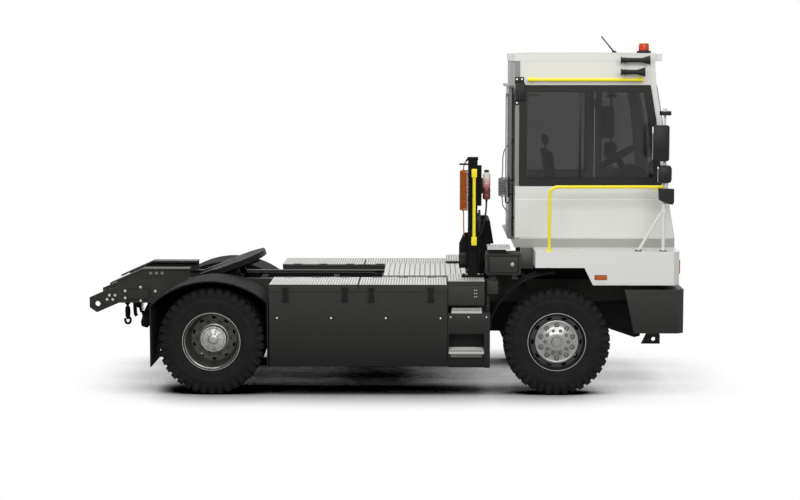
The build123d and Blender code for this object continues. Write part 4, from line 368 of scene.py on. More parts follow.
# Axles, springs and drive. Cast and forged parts under the frame: duller than the sheet metal, with a
# sand-cast grain. The spring pack shows its separate leaves and two clamp bands on each side.
cast, tree, skin, spot = new_material("sand_cast_iron")
grain = add_node(tree, "TexNoise", {"Vector": spot, "Scale": 1000 / 4.0, "Detail": 6.0})
rust = add_node(tree, "TexNoise", {"Vector": spot, "Scale": 7.0, "Detail": 5.0})
edge = add_node(tree, "Bevel", {"Radius": 0.006}, samples=4)
bump = add_node(tree, "Bump", {"Strength": 0.25, "Distance": 0.001, "Height": grain.outputs[0],
                               "Normal": edge.outputs[0]})
spread = add_node(tree, "MapRange", {"Value": rust.outputs[0], "From Min": 0.5, "From Max": 0.8,
                                     "To Max": 0.5})
tone = add_node(tree, "Mix", {0: spread.outputs[0], 6: linear("#131313"), 7: linear("#241E1A")},
                data_type="RGBA")
feed(tree, skin, {"Base Color": tone.outputs[2], "Normal": bump.outputs[0], "Roughness": 0.62,
                  "Specular IOR Level": 0.15})
dress(cast, "rear_axle", "front_axle", "knuckle_left", "knuckle_right", "drive_unit", "leaf_springs")

work = bmesh.new()
for side in (-1, 1):
    for n in range(4):
        reach = 0.70 - 0.13 * n
        rise = 0.112
        leaf = [(1.8 + reach * t, 0.612 - 0.008 * n + rise * (reach * t / 0.72) ** 2)
                for t in [k / 8 - 1 for k in range(17)]]
        add_prism(work, leaf + [(x, z - 0.007) for x, z in leaf[::-1]], side * 0.400 - 0.042,
                  side * 0.400 + 0.042)
    for x in (1.70, 1.90):
        add_block(work, (x - 0.012, side * 0.400 - 0.05, 0.50), (x + 0.012, side * 0.400 + 0.05, 0.632), 4)
    for end in (-1, 1):
        eye = [(0.014, -0.045), (0.034, -0.045), (0.034, 0.045), (0.014, 0.045)]
        turn_profile(work, eye, 20, outward(1.8 + end * 0.72, side * 0.400, 0.705, (0, 1, 0)), close=True)
finished("spring_leaves", work, cast, smooth=30)

# Spring hanger plates. Flat black plates outside the front springs close the view through the frame, and
# carry the bumper. Bearers of the same plate lift the front deck off the rails.
work = bmesh.new()
rear_plate = [(1.10, 0.55), (1.36, 0.55), (1.44, 0.70), (1.44, 0.860), (1.10, 0.860)]
front_plate = [(2.14, 0.860), (2.14, 0.70), (2.25, 0.64), (2.41, 0.57), (2.66, 0.485), (2.72, 0.50),
               (2.72, 0.860)]
for side in (-1, 1):
    for plate in (rear_plate, front_plate):
        add_prism(work, plate, side * 0.446, side * 0.453)
    add_block(work, (1.560, side * 0.395, 1.094), (2.700, side * 0.425, 1.306), 3)
finished("spring_hanger_plates", work, chassis_black)

# Tyres. Block-tread steel-belted truck tyres: black rubber, moulded, with deep shoulder lugs that end round
# on the sidewall. The rubber is matt, with a patchy grey bloom, and moulded rings.
rubber, tree, skin, spot = new_material("moulded_tyre_rubber")
grain = add_node(tree, "TexNoise", {"Vector": spot, "Scale": 1000 / 3.0, "Detail": 4.0})
bloom = add_node(tree, "TexNoise", {"Vector": spot, "Scale": 9.0, "Detail": 5.0})
spread = add_node(tree, "MapRange", {"Value": bloom.outputs[0], "From Min": 0.35, "From Max": 0.75})
tone = add_node(tree, "Mix", {0: spread.outputs[0], 6: linear("#171716"), 7: linear("#222120")},
                data_type="RGBA")
bump = add_node(tree, "Bump", {"Strength": 0.2, "Distance": 0.0006, "Height": grain.outputs[0]})
feed(tree, skin, {"Base Color": tone.outputs[2], "Normal": bump.outputs[0], "Roughness": 0.72,
                  "Specular IOR Level": 0.12})

LUGS_ROUND = 38
# Tyre section from the bead to the crown: radius, distance from the middle plane.
SECTION = ((0.2885, 0.100), (0.2885, 0.1085), (0.297, 0.117), (0.306, 0.121), (0.310, 0.1195),
           (0.330, 0.127), (0.334, 0.1285), (0.338, 0.128), (0.370, 0.138), (0.405, 0.1425),
           (0.409, 0.1435), (0.413, 0.1425), (0.440, 0.140), (0.470, 0.133), (0.500, 0.124),
           (0.5165, 0.112), (0.5215, 0.095), (0.5225, 0.040), (0.5225, 0.0))
# One lug from its round end on the sidewall over the shoulder to the crown: radius, distance from middle,
# half width.
LUG_LINE = ((0.446, 0.1425, 0.006), (0.450, 0.1455, 0.0145), (0.458, 0.1465, 0.0195),
            (0.470, 0.1462, 0.0215), (0.492, 0.1425, 0.0235), (0.517, 0.1365, 0.026),
            (0.532, 0.129, 0.0275), (0.5385, 0.117, 0.0285), (0.5395, 0.070, 0.0275),
            (0.5395, 0.030, 0.0265), (0.5395, 0.010, 0.0240))


def add_lug(work, turn, side):
    """A rubber block that stands on the carcass, from the sidewall to near the crown's middle."""
    spin = Matrix.Rotation(turn, 4, "Z")
    tops = []
    feet = []
    for radius, across, half in LUG_LINE:
        foot_r = radius - (0.020 if radius > 0.5 else 0.010)
        foot_a = across - (0.012 if radius < 0.53 else 0.0)
        tops.append([work.verts.new(spin @ Vector((radius, y, side * across))) for y in (-half, half)])
        feet.append([work.verts.new(spin @ Vector((foot_r, y * 1.12, side * foot_a)))
                     for y in (-half, half)])
    for n in range(len(tops) - 1):
        work.faces.new((tops[n][0], tops[n][1], tops[n + 1][1], tops[n + 1][0]))
        for k in (0, 1):
            work.faces.new((tops[n][k], tops[n + 1][k], feet[n + 1][k], feet[n][k]))
    work.faces.new((tops[0][0], tops[0][1], feet[0][1], feet[0][0]))
    work.faces.new((tops[-1][0], tops[-1][1], feet[-1][1], feet[-1][0]))


work = bmesh.new()
round_line = list(SECTION) + [(radius, -along) for radius, along in SECTION[-2::-1]]
turn_profile(work, round_line, 114)
for n in range(LUGS_ROUND):
    add_lug(work, 2 * pi * n / LUGS_ROUND + pi / 2, 1)
    add_lug(work, 2 * pi * (n + 0.5) / LUGS_ROUND + pi / 2, -1)
bmesh.ops.recalc_face_normals(work, faces=work.faces)
tyre_mesh = bpy.data.meshes.new("block_tread_tyre")
work.to_mesh(tyre_mesh)
work.free()
tyre_mesh.materials.append(rubber)
tyre_mesh.shade_smooth()
tyre_mesh.set_sharp_from_angle(angle=radians(38))

AXLE_Z = 0.540
# Wheel stations: end, x, tyre centres from the middle of the vehicle.
STATIONS = (("front", 1.800, (1.052,)), ("rear", -1.700, (0.742, 1.072)))


def at_hub(x, y, side):
    """A wheel's place: its own Z points away from the vehicle."""
    return Matrix.Translation((x, side * y, AXLE_Z)) @ Matrix.Rotation(radians(-90 * side), 4, "X")


for end, x, centres in STATIONS:
    for name, side in (("right", -1), ("left", 1)):
        for row, y in enumerate(centres):
            tyre = place(bpy.data.objects.new(f"rubber_{end}_{name}_{row}", tyre_mesh))
            tyre.matrix_world = at_hub(x, y, side)
            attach(tyre, f"{end}_wheel_{name}")
            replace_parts(tyre, f"tyre_{end}_{name}")

# Wheels. Pressed steel rims painted black or dark grey with a bright rolled lip, ten nuts and ten hand holes.
# The front disc is a convex silver cover with an inner bolt ring and hub cap; the rear disc is deep, round a
# cast hub gear.


def wheel_paint(name, colour, worn_tone, metallic, roughness):
    """Baked wheel enamel with spun rings and a little road film."""
    material, tree, skin, spot = new_material(name)
    film = add_node(tree, "TexNoise", {"Vector": spot, "Scale": 14.0, "Detail": 5.0})
    spun = add_node(tree, "TexWave", {"Vector": spot, "Scale": 55.0, "Distortion": 0.4, "Detail": 2.0},
                    wave_type="RINGS", rings_direction="Z")
    spread = add_node(tree, "MapRange", {"Value": film.outputs[0], "From Min": 0.45, "From Max": 0.8,
                                         "To Max": 0.6})
    tone = add_node(tree, "Mix", {0: spread.outputs[0], 6: linear(colour), 7: linear(worn_tone)},
                    data_type="RGBA")
    dull = add_node(tree, "MapRange", {"Value": film.outputs[0], "To Min": roughness - 0.08,
                                       "To Max": roughness + 0.12})
    bump = add_node(tree, "Bump", {"Strength": 0.05, "Distance": 0.0005, "Height": spun.outputs["Fac"]})
    feed(tree, skin, {"Base Color": tone.outputs[2], "Roughness": dull.outputs[0],
                      "Normal": bump.outputs[0], "Metallic": metallic})
    return material


disc_silver = wheel_paint("silver_wheel_enamel", "#8C8C8A", "#626260", 1.0, 0.30)
rim_black = wheel_paint("black_wheel_enamel", "#141414", "#1F1E1D", 0.1, 0.42)
rim_grey = wheel_paint("dark_grey_wheel_enamel", "#4A4A48", "#30302F", 0.4, 0.40)
lip_bright = wheel_paint("bright_rolled_steel", "#A6A6A3", "#6E6E6B", 1.0, 0.24)
hub_grey = wheel_paint("grey_cast_hub", "#A4A4A2", "#5A5957", 0.9, 0.38)


def add_pierced_ring(work, inner, outer, level, thick, hole_ring, hole_long, hole_tall, count, shift):
    """A flat ring with oval hand holes right through it."""
    steps = count * 12
    edges = []
    for radius in (inner, outer):
        ring = [work.verts.new((radius * cos(2 * pi * n / steps), radius * sin(2 * pi * n / steps), level))
                for n in range(steps)]
        edges += [work.edges.new((ring[n], ring[n - 1])) for n in range(steps)]
    for k in range(count):
        spin = Matrix.Rotation(2 * pi * (k + shift) / count, 4, "Z")
        oval = [work.verts.new(spin @ Vector((hole_ring + hole_tall * cos(2 * pi * n / 16),
                                              hole_long * sin(2 * pi * n / 16), level))) for n in range(16)]
        edges += [work.edges.new((oval[n], oval[n - 1])) for n in range(16)]
    faces = [item for item in bmesh.ops.triangle_fill(work, edges=edges, use_beauty=True)["geom"]
             if isinstance(item, bmesh.types.BMFace)]
    moved = bmesh.ops.extrude_face_region(work, geom=faces)["geom"]
    for vert in moved:
        if isinstance(vert, bmesh.types.BMVert):
            vert.co.z -= thick


def add_nuts(work, ring, level, count, radius, shift=0.0):
    """Domed wheel nuts on a ring, each with its stud end."""
    for k in range(count):
        turn = 2 * pi * (k + shift) / count
        at = Matrix.Translation((ring * cos(turn), ring * sin(turn), level))
        turn_profile(work, [(radius * 1.3, 0), (radius * 1.3, radius * 0.25), (radius, radius * 0.3)], 18,
                     at)
        turn_profile(work, [(radius * 1.02, radius * 0.25), (radius, radius * 1.3),
                            (radius * 0.8, radius * 1.55)], 6, at)
        turn_profile(work, [(radius * 0.8, radius * 1.5), (radius * 0.6, radius * 1.85),
                            (0, radius * 1.95)], 12, at)


def wheel_piece(name, work, material, x, y, side, body, node):
    """A piece of a wheel, put at its hub."""
    piece = finished(name, work, material, body, 40)
    piece.matrix_world = frame["bodies"][body].matrix_world @ at_hub(x, y, side)
    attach(piece, body)
    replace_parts(piece, node)


for name, side in (("right", -1), ("left", 1)):
    body = f"front_wheel_{name}"
    node = f"wheel_front_{name}"
    x, y = 1.800, 1.052
    work = bmesh.new()
    turn_profile(work, [(0.2865, -0.108), (0.2865, 0.106), (0.2885, 0.1125), (0.296, 0.1145),
                        (0.296, 0.1205), (0.289, 0.1225), (0.280, 0.112), (0.277, 0.098), (0.266, 0.082),
                        (0.262, 0.060), (0.262, -0.108)], 96, close=True)
    add_pierced_ring(work, 0.205, 0.270, 0.074, 0.010, 0.244, 0.030, 0.0145, 10, 0.0)
    wheel_piece(f"rim_front_{name}", work, rim_black, x, y, side, body, node)
    work = bmesh.new()
    turn_profile(work, [(0.2965, 0.116), (0.2978, 0.1195), (0.2955, 0.1222), (0.2905, 0.1228),
                        (0.2885, 0.121)], 96)
    wheel_piece(f"rim_lip_front_{name}", work, lip_bright, x, y, side, body, node)
    work = bmesh.new()
    turn_profile(work, [(0.205, 0.060), (0.220, 0.070), (0.2245, 0.080), (0.2235, 0.088), (0.218, 0.0945),
                        (0.210, 0.0965),
                        (0.200, 0.0945), (0.192, 0.0915), (0.150, 0.095), (0.143, 0.099), (0.137, 0.1015),
                        (0.100, 0.1035),
                        (0.096, 0.1065), (0.072, 0.109), (0.056, 0.110), (0.0545, 0.121), (0.050, 0.1265),
                        (0.036, 0.1275), (0.034, 0.1295), (0, 0.1298)], 96)
    add_nuts(work, 0.1675, 0.0925, 10, 0.0118, 0.5)
    add_nuts(work, 0.1175, 0.1015, 10, 0.0070)
    wheel_piece(f"disc_front_{name}", work, disc_silver, x, y, side, body, node)
    work = bmesh.new()
    for ring, level, inner, outer, shift in ((0.1675, 0.0940, 0.0150, 0.0250, 0.5),
                                             (0.1175, 0.1024, 0.0088, 0.0165, 0.0)):
        for k in range(10):
            turn = 2 * pi * (k + shift) / 10
            at = Matrix.Translation((ring * cos(turn), ring * sin(turn), level))
            turn_profile(work, [(inner, -0.003), (outer, -0.003), (outer, 0.0012), (inner, 0.0012)], 20, at,
                         close=True)
    turn_profile(work, [(0.110, -0.060), (0.110, 0.090), (0.050, 0.090), (0.050, -0.060)], 40, close=True)
    wheel_piece(f"hub_front_{name}", work, rim_black, x, y, side, body, node)

for name, side in (("right", -1), ("left", 1)):
    body = f"rear_wheel_{name}"
    node = f"wheel_rear_{name}"
    x, y = -1.700, 0.907
    work = bmesh.new()
    for way in (-1, 1):
        rim_line = [(0.2865, 0.057), (0.2865, 0.271), (0.296, 0.2795), (0.296, 0.2855), (0.289, 0.2875),
                    (0.280, 0.277), (0.277, 0.262), (0.266, 0.250), (0.262, 0.225), (0.260, 0.150),
                    (0.256, 0.090), (0.246, 0.040), (0.232, 0.024), (0.232, 0.010), (0.262, 0.030),
                    (0.274, 0.057)]
        turn_profile(work, [(radius, way * along) for radius, along in rim_line], 96, close=True)
    add_pierced_ring(work, 0.120, 0.2345, 0.024, 0.030, 0.214, 0.025, 0.0135, 10, 0.5)
    wheel_piece(f"rims_rear_{name}", work, rim_grey, x, y, side, body, node)
    work = bmesh.new()
    for lip in ([(0.2965, 0.281), (0.2978, 0.2845), (0.2955, 0.2872), (0.2905, 0.2878), (0.2885, 0.286)],
                [(0.2785, 0.2665), (0.2755, 0.2635), (0.2700, 0.2575), (0.2665, 0.2535), (0.2655, 0.2495)]):
        turn_profile(work, lip, 96)
    wheel_piece(f"rim_lips_rear_{name}", work, lip_bright, x, y, side, body, node)
    work = bmesh.new()
    turn_profile(work, [(0.110, -0.150), (0.110, 0.010), (0.150, 0.024), (0.150, 0.036), (0.138, 0.040),
                        (0.1365, 0.098), (0.131, 0.105), (0.114, 0.107), (0.110, 0.101), (0.050, 0.105),
                        (0.047, 0.120), (0.040, 0.125), (0.015, 0.126), (0.013, 0.112), (0, 0.112)], 64)
    turn_profile(work, [(0.110, -0.150), (0.056, -0.150), (0.056, 0.02)], 64)
    # Ten wedge-shaped ribs slope outward from the hub's eye, each over a short rib on the rim.
    for k in range(10):
        spin = Matrix.Rotation(2 * pi * (k + 0.5) / 10, 4, "Z")
        add_block(work, (0.132, -0.009, 0.040), (0.1385, 0.009, 0.086), 2, spin)
        rows = [[work.verts.new(spin @ Vector(corner)) for corner in
                 ((0.050, -0.010, inner), (0.107, -0.027, outer), (0.107, 0.027, outer),
                  (0.050, 0.010, inner))]
                for inner, outer in ((0.100, 0.098), (0.122, 0.108))]
        work.faces.new(rows[1])
        for n in range(4):
            work.faces.new((rows[0][n - 1], rows[0][n], rows[1][n], rows[1][n - 1]))
    add_nuts(work, 0.1225, 0.1055, 10, 0.006)
    wheel_piece(f"hub_gear_{name}", work, hub_grey, x, y, side, body, node)
    work = bmesh.new()
    add_nuts(work, 0.1675, 0.024, 10, 0.0150)
    wheel_piece(f"nuts_rear_{name}", work, rim_grey, x, y, side, body, node)

# Lift boom, cylinders and fifth wheel. The boom is a welded box frame; the rods are hard-chromed, the plate
# is cast iron. The plate's top is smeared with grease that is smoother where trailers rub it and matt where
# dust sticks.


def polished(name, colour, grain, detail, smooth, rough, patch=(0.0, 1.0)):
    """Bright metal with a polish that varies from smooth to rough over the surface."""
    material, tree, skin, spot = new_material(name)
    hone = add_node(tree, "TexNoise", {"Vector": spot, "Scale": grain, "Detail": detail})
    dull = add_node(tree, "MapRange", {"Value": hone.outputs[0], "From Min": patch[0], "From Max": patch[1],
                                       "To Min": smooth, "To Max": rough})
    feed(tree, skin, {"Base Color": linear(colour), "Roughness": dull.outputs[0], "Metallic": 1.0})
    return material


dress(polished("hard_chrome", "#DADBDC", 400.0, 2.0, 0.06, 0.16), "lift_rods")

greased, tree, skin, spot = new_material("greased_cast_iron")
smear = add_node(tree, "Mapping", {"Vector": spot, "Scale": (3.0, 14.0, 6.0)})
grease = add_node(tree, "TexNoise", {"Vector": smear.outputs[0], "Scale": 3.0, "Detail": 6.0,
                                     "Distortion": 1.2})
grain = add_node(tree, "TexNoise", {"Vector": spot, "Scale": 1000 / 5.0, "Detail": 5.0})
edge = add_node(tree, "Bevel", {"Radius": 0.010}, samples=4)
film = add_node(tree, "MapRange", {"Value": grease.outputs[0], "From Min": 0.42, "From Max": 0.6})
tone = add_node(tree, "Mix", {0: film.outputs[0], 6: linear("#0E0E0E"), 7: linear("#1C1A18")},
                data_type="RGBA")
dull = add_node(tree, "MapRange", {"Value": film.outputs[0], "To Min": 0.50, "To Max": 0.78})
bump = add_node(tree, "Bump", {"Strength": 0.3, "Distance": 0.0012, "Height": grain.outputs[0],
                               "Normal": edge.outputs[0]})
feed(tree, skin, {"Base Color": tone.outputs[2], "Roughness": dull.outputs[0], "Normal": bump.outputs[0],
                  "Specular IOR Level": 0.12})
dress(greased, "fifth_wheel")

COUPLER = Matrix.Translation((-1.550, 0, 1.138)) @ Matrix.Rotation(radians(-20), 4, "Y")
work = bmesh.new()
for side in (-1, 1):
    for x in (-0.26, -0.05, 0.05, 0.24):
        add_block(work, (x - 0.007, side * 0.06, 0.056), (x + 0.007, side * 0.30, 0.083), 2, COUPLER)
    for rear, front in ((-0.400, -0.060), (0.060, 0.300)):
        add_block(work, (rear, side * 0.296, 0.026), (front, side * 0.312, 0.083), 4, COUPLER)
    turned = Matrix.Rotation(radians(-90 * side), 4, "X")
    turn_profile(work, [(0.028, 0), (0.046, 0), (0.046, 0.012), (0.028, 0.014)], 24,
                 COUPLER @ Matrix.Translation((0, side * 0.327, 0)) @ turned, close=True)
    add_tube(work, [COUPLER @ Vector((0.02, side * 0.05, 0.070)),
                    COUPLER @ Vector((0.10, side * 0.20, 0.068)),
                    COUPLER @ Vector((0.12, side * 0.40, 0.066))], 0.011, 8)
jaw = [(0.0262, 0.080), (0.040, 0.080), (0.040, 0.1105), (0.0262, 0.1105)]
turn_profile(work, jaw, 36, COUPLER, close=True)
finished("plate_ribs", work, greased, "coupler")

# Lift cylinders' ends. Turned gland nuts with wiper seals close the barrels, and hose unions stand on their
# sides. They are steel, screwed on and painted black with the barrels, and swing with them.
RAM_FOOT = Vector((-0.760, 0.150, 0.560))
RAM_LINE = (Vector((-0.900, 0.150, 1.000)) - RAM_FOOT).normalized()
work = bmesh.new()
for side in (-1, 1):
    foot = Vector((RAM_FOOT.x, side * RAM_FOOT.y, RAM_FOOT.z))
    top = foot + RAM_LINE * 0.392
    turn_profile(work, [(0.0315, -0.026), (0.055, -0.026), (0.056, -0.006), (0.050, 0.002),
                        (0.0315, 0.004)], 32, outward(top.x, top.y, top.z, RAM_LINE), close=True)
    turn_profile(work, [(0.049, 0), (0.0515, 0.002), (0.0515, 0.18), (0.049, 0.182)], 32,
                 outward(*(foot + RAM_LINE * 0.15), RAM_LINE))
    spot = foot + RAM_LINE * 0.34 + Vector((0.045, 0, 0))
    turn_profile(work, [(0.014, 0), (0.014, 0.016), (0.010, 0.018), (0.010, 0.034), (0, 0.034)], 6,
                 outward(spot.x, spot.y, spot.z, (1, 0, 0.2)))
finished("cylinder_glands", work, chassis_black, "ram_barrels")

# Battery boxes. Folded sheet-steel boxes, powder-coated dark grey with a fine matt texture, with rivets
# along the side. Over-centre latches in black steel clamp each lid; painted shade darkens the boxes low down.


def powder_coat(name, colour, lower_tone, roughness, grain_mm, edge_mm, shine=0.15, black_beyond=9.0):
    """Textured powder coat: a fine even grain, edges that wear lighter, and painted shade that darkens it
    downward.
    """
    material, tree, skin, spot = new_material(name)
    grain = add_node(tree, "TexNoise", {"Vector": spot, "Scale": 1000 / grain_mm, "Detail": 2.0,
                                        "Roughness": 0.4})
    patch = add_node(tree, "TexNoise", {"Vector": spot, "Scale": 1.6, "Detail": 5.0})
    height = add_node(tree, "SeparateXYZ", {0: spot})
    # Painted shade: from z 1.02 down to z 0.30 the colour goes over to its lower tone; film carries this
    # painted shade.
    toward_ground = add_node(tree, "MapRange", {"Value": height.outputs["Z"], "From Min": 1.02, "From Max": 0.30})
    cloud = add_node(tree, "MapRange", {"Value": patch.outputs[0], "To Min": 0.85, "To Max": 1.1})
    film = add_node(tree, "Math", {0: toward_ground.outputs[0], 1: cloud.outputs[0]}, operation="MULTIPLY",
                    use_clamp=True)
    tone = add_node(tree, "Mix", {0: film.outputs[0], 6: linear(colour), 7: linear(lower_tone)},
                    data_type="RGBA")
    edge = add_node(tree, "Bevel", {"Radius": edge_mm / 1000}, samples=4)
    faces = add_node(tree, "NewGeometry")
    turned = add_node(tree, "VectorMath", {0: edge.outputs[0], 1: faces.outputs["Normal"]},
                      operation="DOT_PRODUCT")
    rubbed = add_node(tree, "MapRange", {"Value": turned.outputs["Value"], "From Min": 0.97,
                                         "From Max": 0.80, "To Max": 0.12})
    worn_tone = add_node(tree, "Mix", {0: rubbed.outputs[0], 6: tone.outputs[2], 7: linear("#8C8B87")},
                         data_type="RGBA")
    bump = add_node(tree, "Bump", {"Strength": 0.12, "Distance": 0.0008, "Height": grain.outputs[0],
                                   "Normal": edge.outputs[0]})
    dull = add_node(tree, "MapRange", {"Value": patch.outputs[0], "From Min": 0.3, "From Max": 0.7,
                                       "To Min": roughness - 0.05, "To Max": roughness + 0.07})
    # What stands further out from the middle of the vehicle than black_beyond, such as a latch, is black.
    aside = add_node(tree, "Math", {0: height.outputs["Y"]}, operation="ABSOLUTE")
    proud = add_node(tree, "Math", {0: aside.outputs[0], 1: black_beyond}, operation="GREATER_THAN")
    tone = add_node(tree, "Mix", {0: proud.outputs[0], 6: worn_tone.outputs[2], 7: linear("#0B0B0B")},
                    data_type="RGBA")
    feed(tree, skin, {"Base Color": tone.outputs[2], "Normal": bump.outputs[0],
                      "Roughness": dull.outputs[0], "Specular IOR Level": shine})
    return material


# The near-black lower tone is painted shade that darkens these parts toward the ground.
box_grey = powder_coat("dark_grey_powder_coat", "#353532", "#0A0A0A", 0.48, 3.0, 3.0, black_beyond=1.2535)
dress(box_grey, "frame_rails", "tail_plates", "tail_lamps", "battery_boxes", "step_boxes", "cabinet",
      "cabinet_door", "front_bumper")
for end in ("front", "rear"):
    dress(box_grey, f"lid_left_{end}", f"lid_right_{end}")
pack_case = powder_coat("grey_pack_case", "#6E7276", "#5A5A58", 0.5, 4.0, 6.0)
dress(pack_case, "battery_packs")

BOX_FACE = 1.236
BODY_FACE = 1.250
# Lids: end, rear edge, front edge, latch places as shares of the length.
LIDS = (("rear", -1.110, -0.2115, (0.19, 0.857)), ("front", -0.2035, 0.689, (0.145, 0.815)))
work = bmesh.new()
for x in (-1.029, -0.482, 0.070, 0.622):
    for side in (-1, 1):
        turn_profile(work, [(0.0095, 0), (0.0085, 0.003), (0.005, 0.0048), (0, 0.0052)], 14,
                     outward(x, side * BOX_FACE, 0.79, (0, side, 0)))
finished("box_rivets", work, zinc)

black_steel = sprayed_paint("black_zinc_steel", "#0C0C0C", "#141413", 0.36, 6.0, 1.5)
work = bmesh.new()
for side in (-1, 1):
    for end, rear, front, shares in LIDS:
        for share in shares:
            x = rear + share * (front - rear)
            near, far = sorted((side * (BODY_FACE + 0.0005), side * (BODY_FACE + 0.0245)))
            for low, high in ((0.962, 0.978), (1.083, 1.099)):
                add_block(work, (x - 0.036, near, low), (x + 0.036, far, high), 4)
finished("latch_levers", work, black_steel)

# Lids. Extruded aluminium plate on top of the grey lid frame, with raised ribs across it and black hinges
# at its inner edge. The metal is bright on the ribs and darker between them, as painted shade in the grooves.
ribbed_plate, tree, skin, spot = new_material("ribbed_aluminium_plate")
roll = add_node(tree, "Mapping", {"Vector": spot, "Scale": (12, 160, 12)})
streak = add_node(tree, "TexNoise", {"Vector": roll.outputs[0], "Scale": 2.0, "Detail": 4.0})
stain = add_node(tree, "TexNoise", {"Vector": spot, "Scale": 3.2, "Detail": 6.0})
spread = add_node(tree, "MapRange", {"Value": stain.outputs[0], "From Min": 0.45, "From Max": 0.75,
                                     "To Max": 0.5})
tone = add_node(tree, "Mix", {0: spread.outputs[0], 6: linear("#BEBEBA"), 7: linear("#A9A8A4")},
                data_type="RGBA")
dull = add_node(tree, "MapRange", {"Value": streak.outputs[0], "To Min": 0.34, "To Max": 0.52})
feed(tree, skin, {"Base Color": tone.outputs[2], "Roughness": dull.outputs[0], "Metallic": 0.3})
dress(ribbed_plate, "tread_plates")
# The darker ground between the ribs is painted shade in the grooves, in uneven patches.
groove_shade, tree, skin, spot = new_material("painted_shade_in_aluminium_grooves")
clump = add_node(tree, "TexNoise", {"Vector": spot, "Scale": 30.0, "Detail": 5.0})
tone = add_node(tree, "Mix", {0: clump.outputs[0], 6: linear("#8F8F8B"), 7: linear("#6B6A66")},
                data_type="RGBA")
feed(tree, skin, {"Base Color": tone.outputs[2], "Roughness": 0.7})


def add_ribs(work, floor_work, x0, x1, y0, y1, z, pitch, share):
    """A sheet with raised ribs across the vehicle; the ground between them goes into its own mesh."""
    add_block(floor_work, (x0, y0, z - 0.001), (x1, y1, z + 0.0008))
    count = round((x1 - x0) / pitch)
    step = (x1 - x0) / count
    for n in range(count):
        middle = x0 + (n + 0.5) * step
        half = step * share / 2
        profile = [(middle - half, z), (middle - half * 0.8, z + 0.003), (middle + half * 0.8, z + 0.003),
                   (middle + half, z)]
        add_prism(work, profile, y0, y1)


LID_TOP = 1.130
for side, name in ((-1, "right"), (1, "left")):
    for end, rear, front, shares in LIDS:
        work = bmesh.new()
        ground = bmesh.new()
        add_ribs(work, ground, rear + 0.004, front - 0.004, side * 0.614, side * 1.248, LID_TOP + 0.0012,
                 0.027, 0.78)
        finished(f"lid_plate_{name}_{end}", work, ribbed_plate,
                 f"battery_lid_{name}_{end}", 20)
        finished(f"lid_grooves_{name}_{end}", ground, groove_shade,
                 f"battery_lid_{name}_{end}", 20)
        work = bmesh.new()
        for x in (rear + 0.12, (rear + front) / 2 - 0.05, front - 0.20):
            for n in range(4):
                y = side * 0.598
                turn_profile(work, [(0.0118, 0), (0.0118, 0.020)], 14,
                             outward(x + n * 0.024, y, 1.118, (1, 0, 0)))
            add_block(work, (x, side * 0.600, LID_TOP + 0.002), (x + 0.092, side * 0.660, LID_TOP + 0.006),
                      1)
        finished(f"lid_hinges_{name}_{end}", work, black_steel,
                 f"battery_lid_{name}_{end}")

# Steps and deck. Pressed aluminium treads with punched ridges and a bright nosing, riveted to the grey step
# boxes. The deck's planks carry fine rolled lines that run across the vehicle, and screws along both edges.
STEP_FACE = 1.246
# Treads: top, rear edge, front edge.
TREADS = ((0.883, 0.733, 1.039), (0.470, 0.705, 1.062))
work = bmesh.new()
rivets = bmesh.new()
ground = bmesh.new()
for side in (-1, 1):
    for top, rear, front in TREADS:
        for n in range(6):
            y = side * (1.072 + n * 0.028)
            add_block(work, (rear + 0.006, y - 0.006, top - 0.001), (front - 0.006, y + 0.006, top + 0.004),
                      2)
        near, far = sorted((side * 1.2385, side * 1.2493))
        add_block(work, (rear, near, top - 0.037), (front, far, top - 0.018), 3)
        add_block(ground, (rear, near + 0.0002, top - 0.020), (front, far - 0.0002, top + 0.001), 1)
        for n in range(int((front - rear) / 0.025)):
            x = rear + 0.010 + n * 0.025
            add_block(work, (x, near, top - 0.020), (x + 0.009, far, top + 0.006), 2)
    for z in (1.012, 1.045, 1.078):
        for x in (0.965, 0.985):
            turn_profile(rivets, [(0.006, 0), (0.005, 0.002), (0, 0.003)], 12,
                         outward(x, side * (BODY_FACE + 0.001), z, (0, side, 0)))
    for x in (0.725, 0.905, 1.085):
        turn_profile(rivets, [(0.009, 0), (0.008, 0.0028), (0, 0.0040)], 14,
                     outward(x, side * (STEP_FACE + 0.002), 0.805, (0, side, 0)))
add_ribs(work, ground, 0.029, 0.898, -0.568, 0.568, 1.1445, 0.054, 0.84)
for side in (-1, 1):
    for n in range(16):
        turn_profile(rivets, [(0.006, 0), (0.005, 0.002), (0, 0.003)], 12,
                     outward(0.056 + n * 0.0543, side * 0.550, 1.147, (0, 0, 1)))
    add_ribs(work, ground, 0.700, 1.062, side * 0.614, side * 1.246, 1.1722, 0.027, 0.78)
finished("tread_grooves", ground, groove_shade, smooth=20)
finished("tread_ridges", work, ribbed_plate, smooth=25)
finished("step_rivets", rivets, zinc)

work = bmesh.new()
for side in (-1, 1):
    add_block(work, (0.712, side * (STEP_FACE - 0.002), 0.645), (1.112, side * (STEP_FACE + 0.0025), 0.835),
              2)
    add_block(work, (0.703, side * 1.2485, 0.932), (1.059, side * 1.2515, 1.120), 3)
finished("step_panels", work, box_grey)
# This grey paints the kick bars and, as painted shade, a cover over the cab's recessed skirt.
grey_primer_and_shade = sprayed_paint("dull_grey_primer_and_painted_shade", "#666664", "#565654", 0.5, 6.0, 2.0)
work = bmesh.new()
for side in (-1, 1):
    add_block(work, (0.726, side * (STEP_FACE - 0.004), 0.394), (1.040, side * (STEP_FACE + 0.003), 0.430),
              2)
finished("step_kick_bars", work, grey_primer_and_shade)

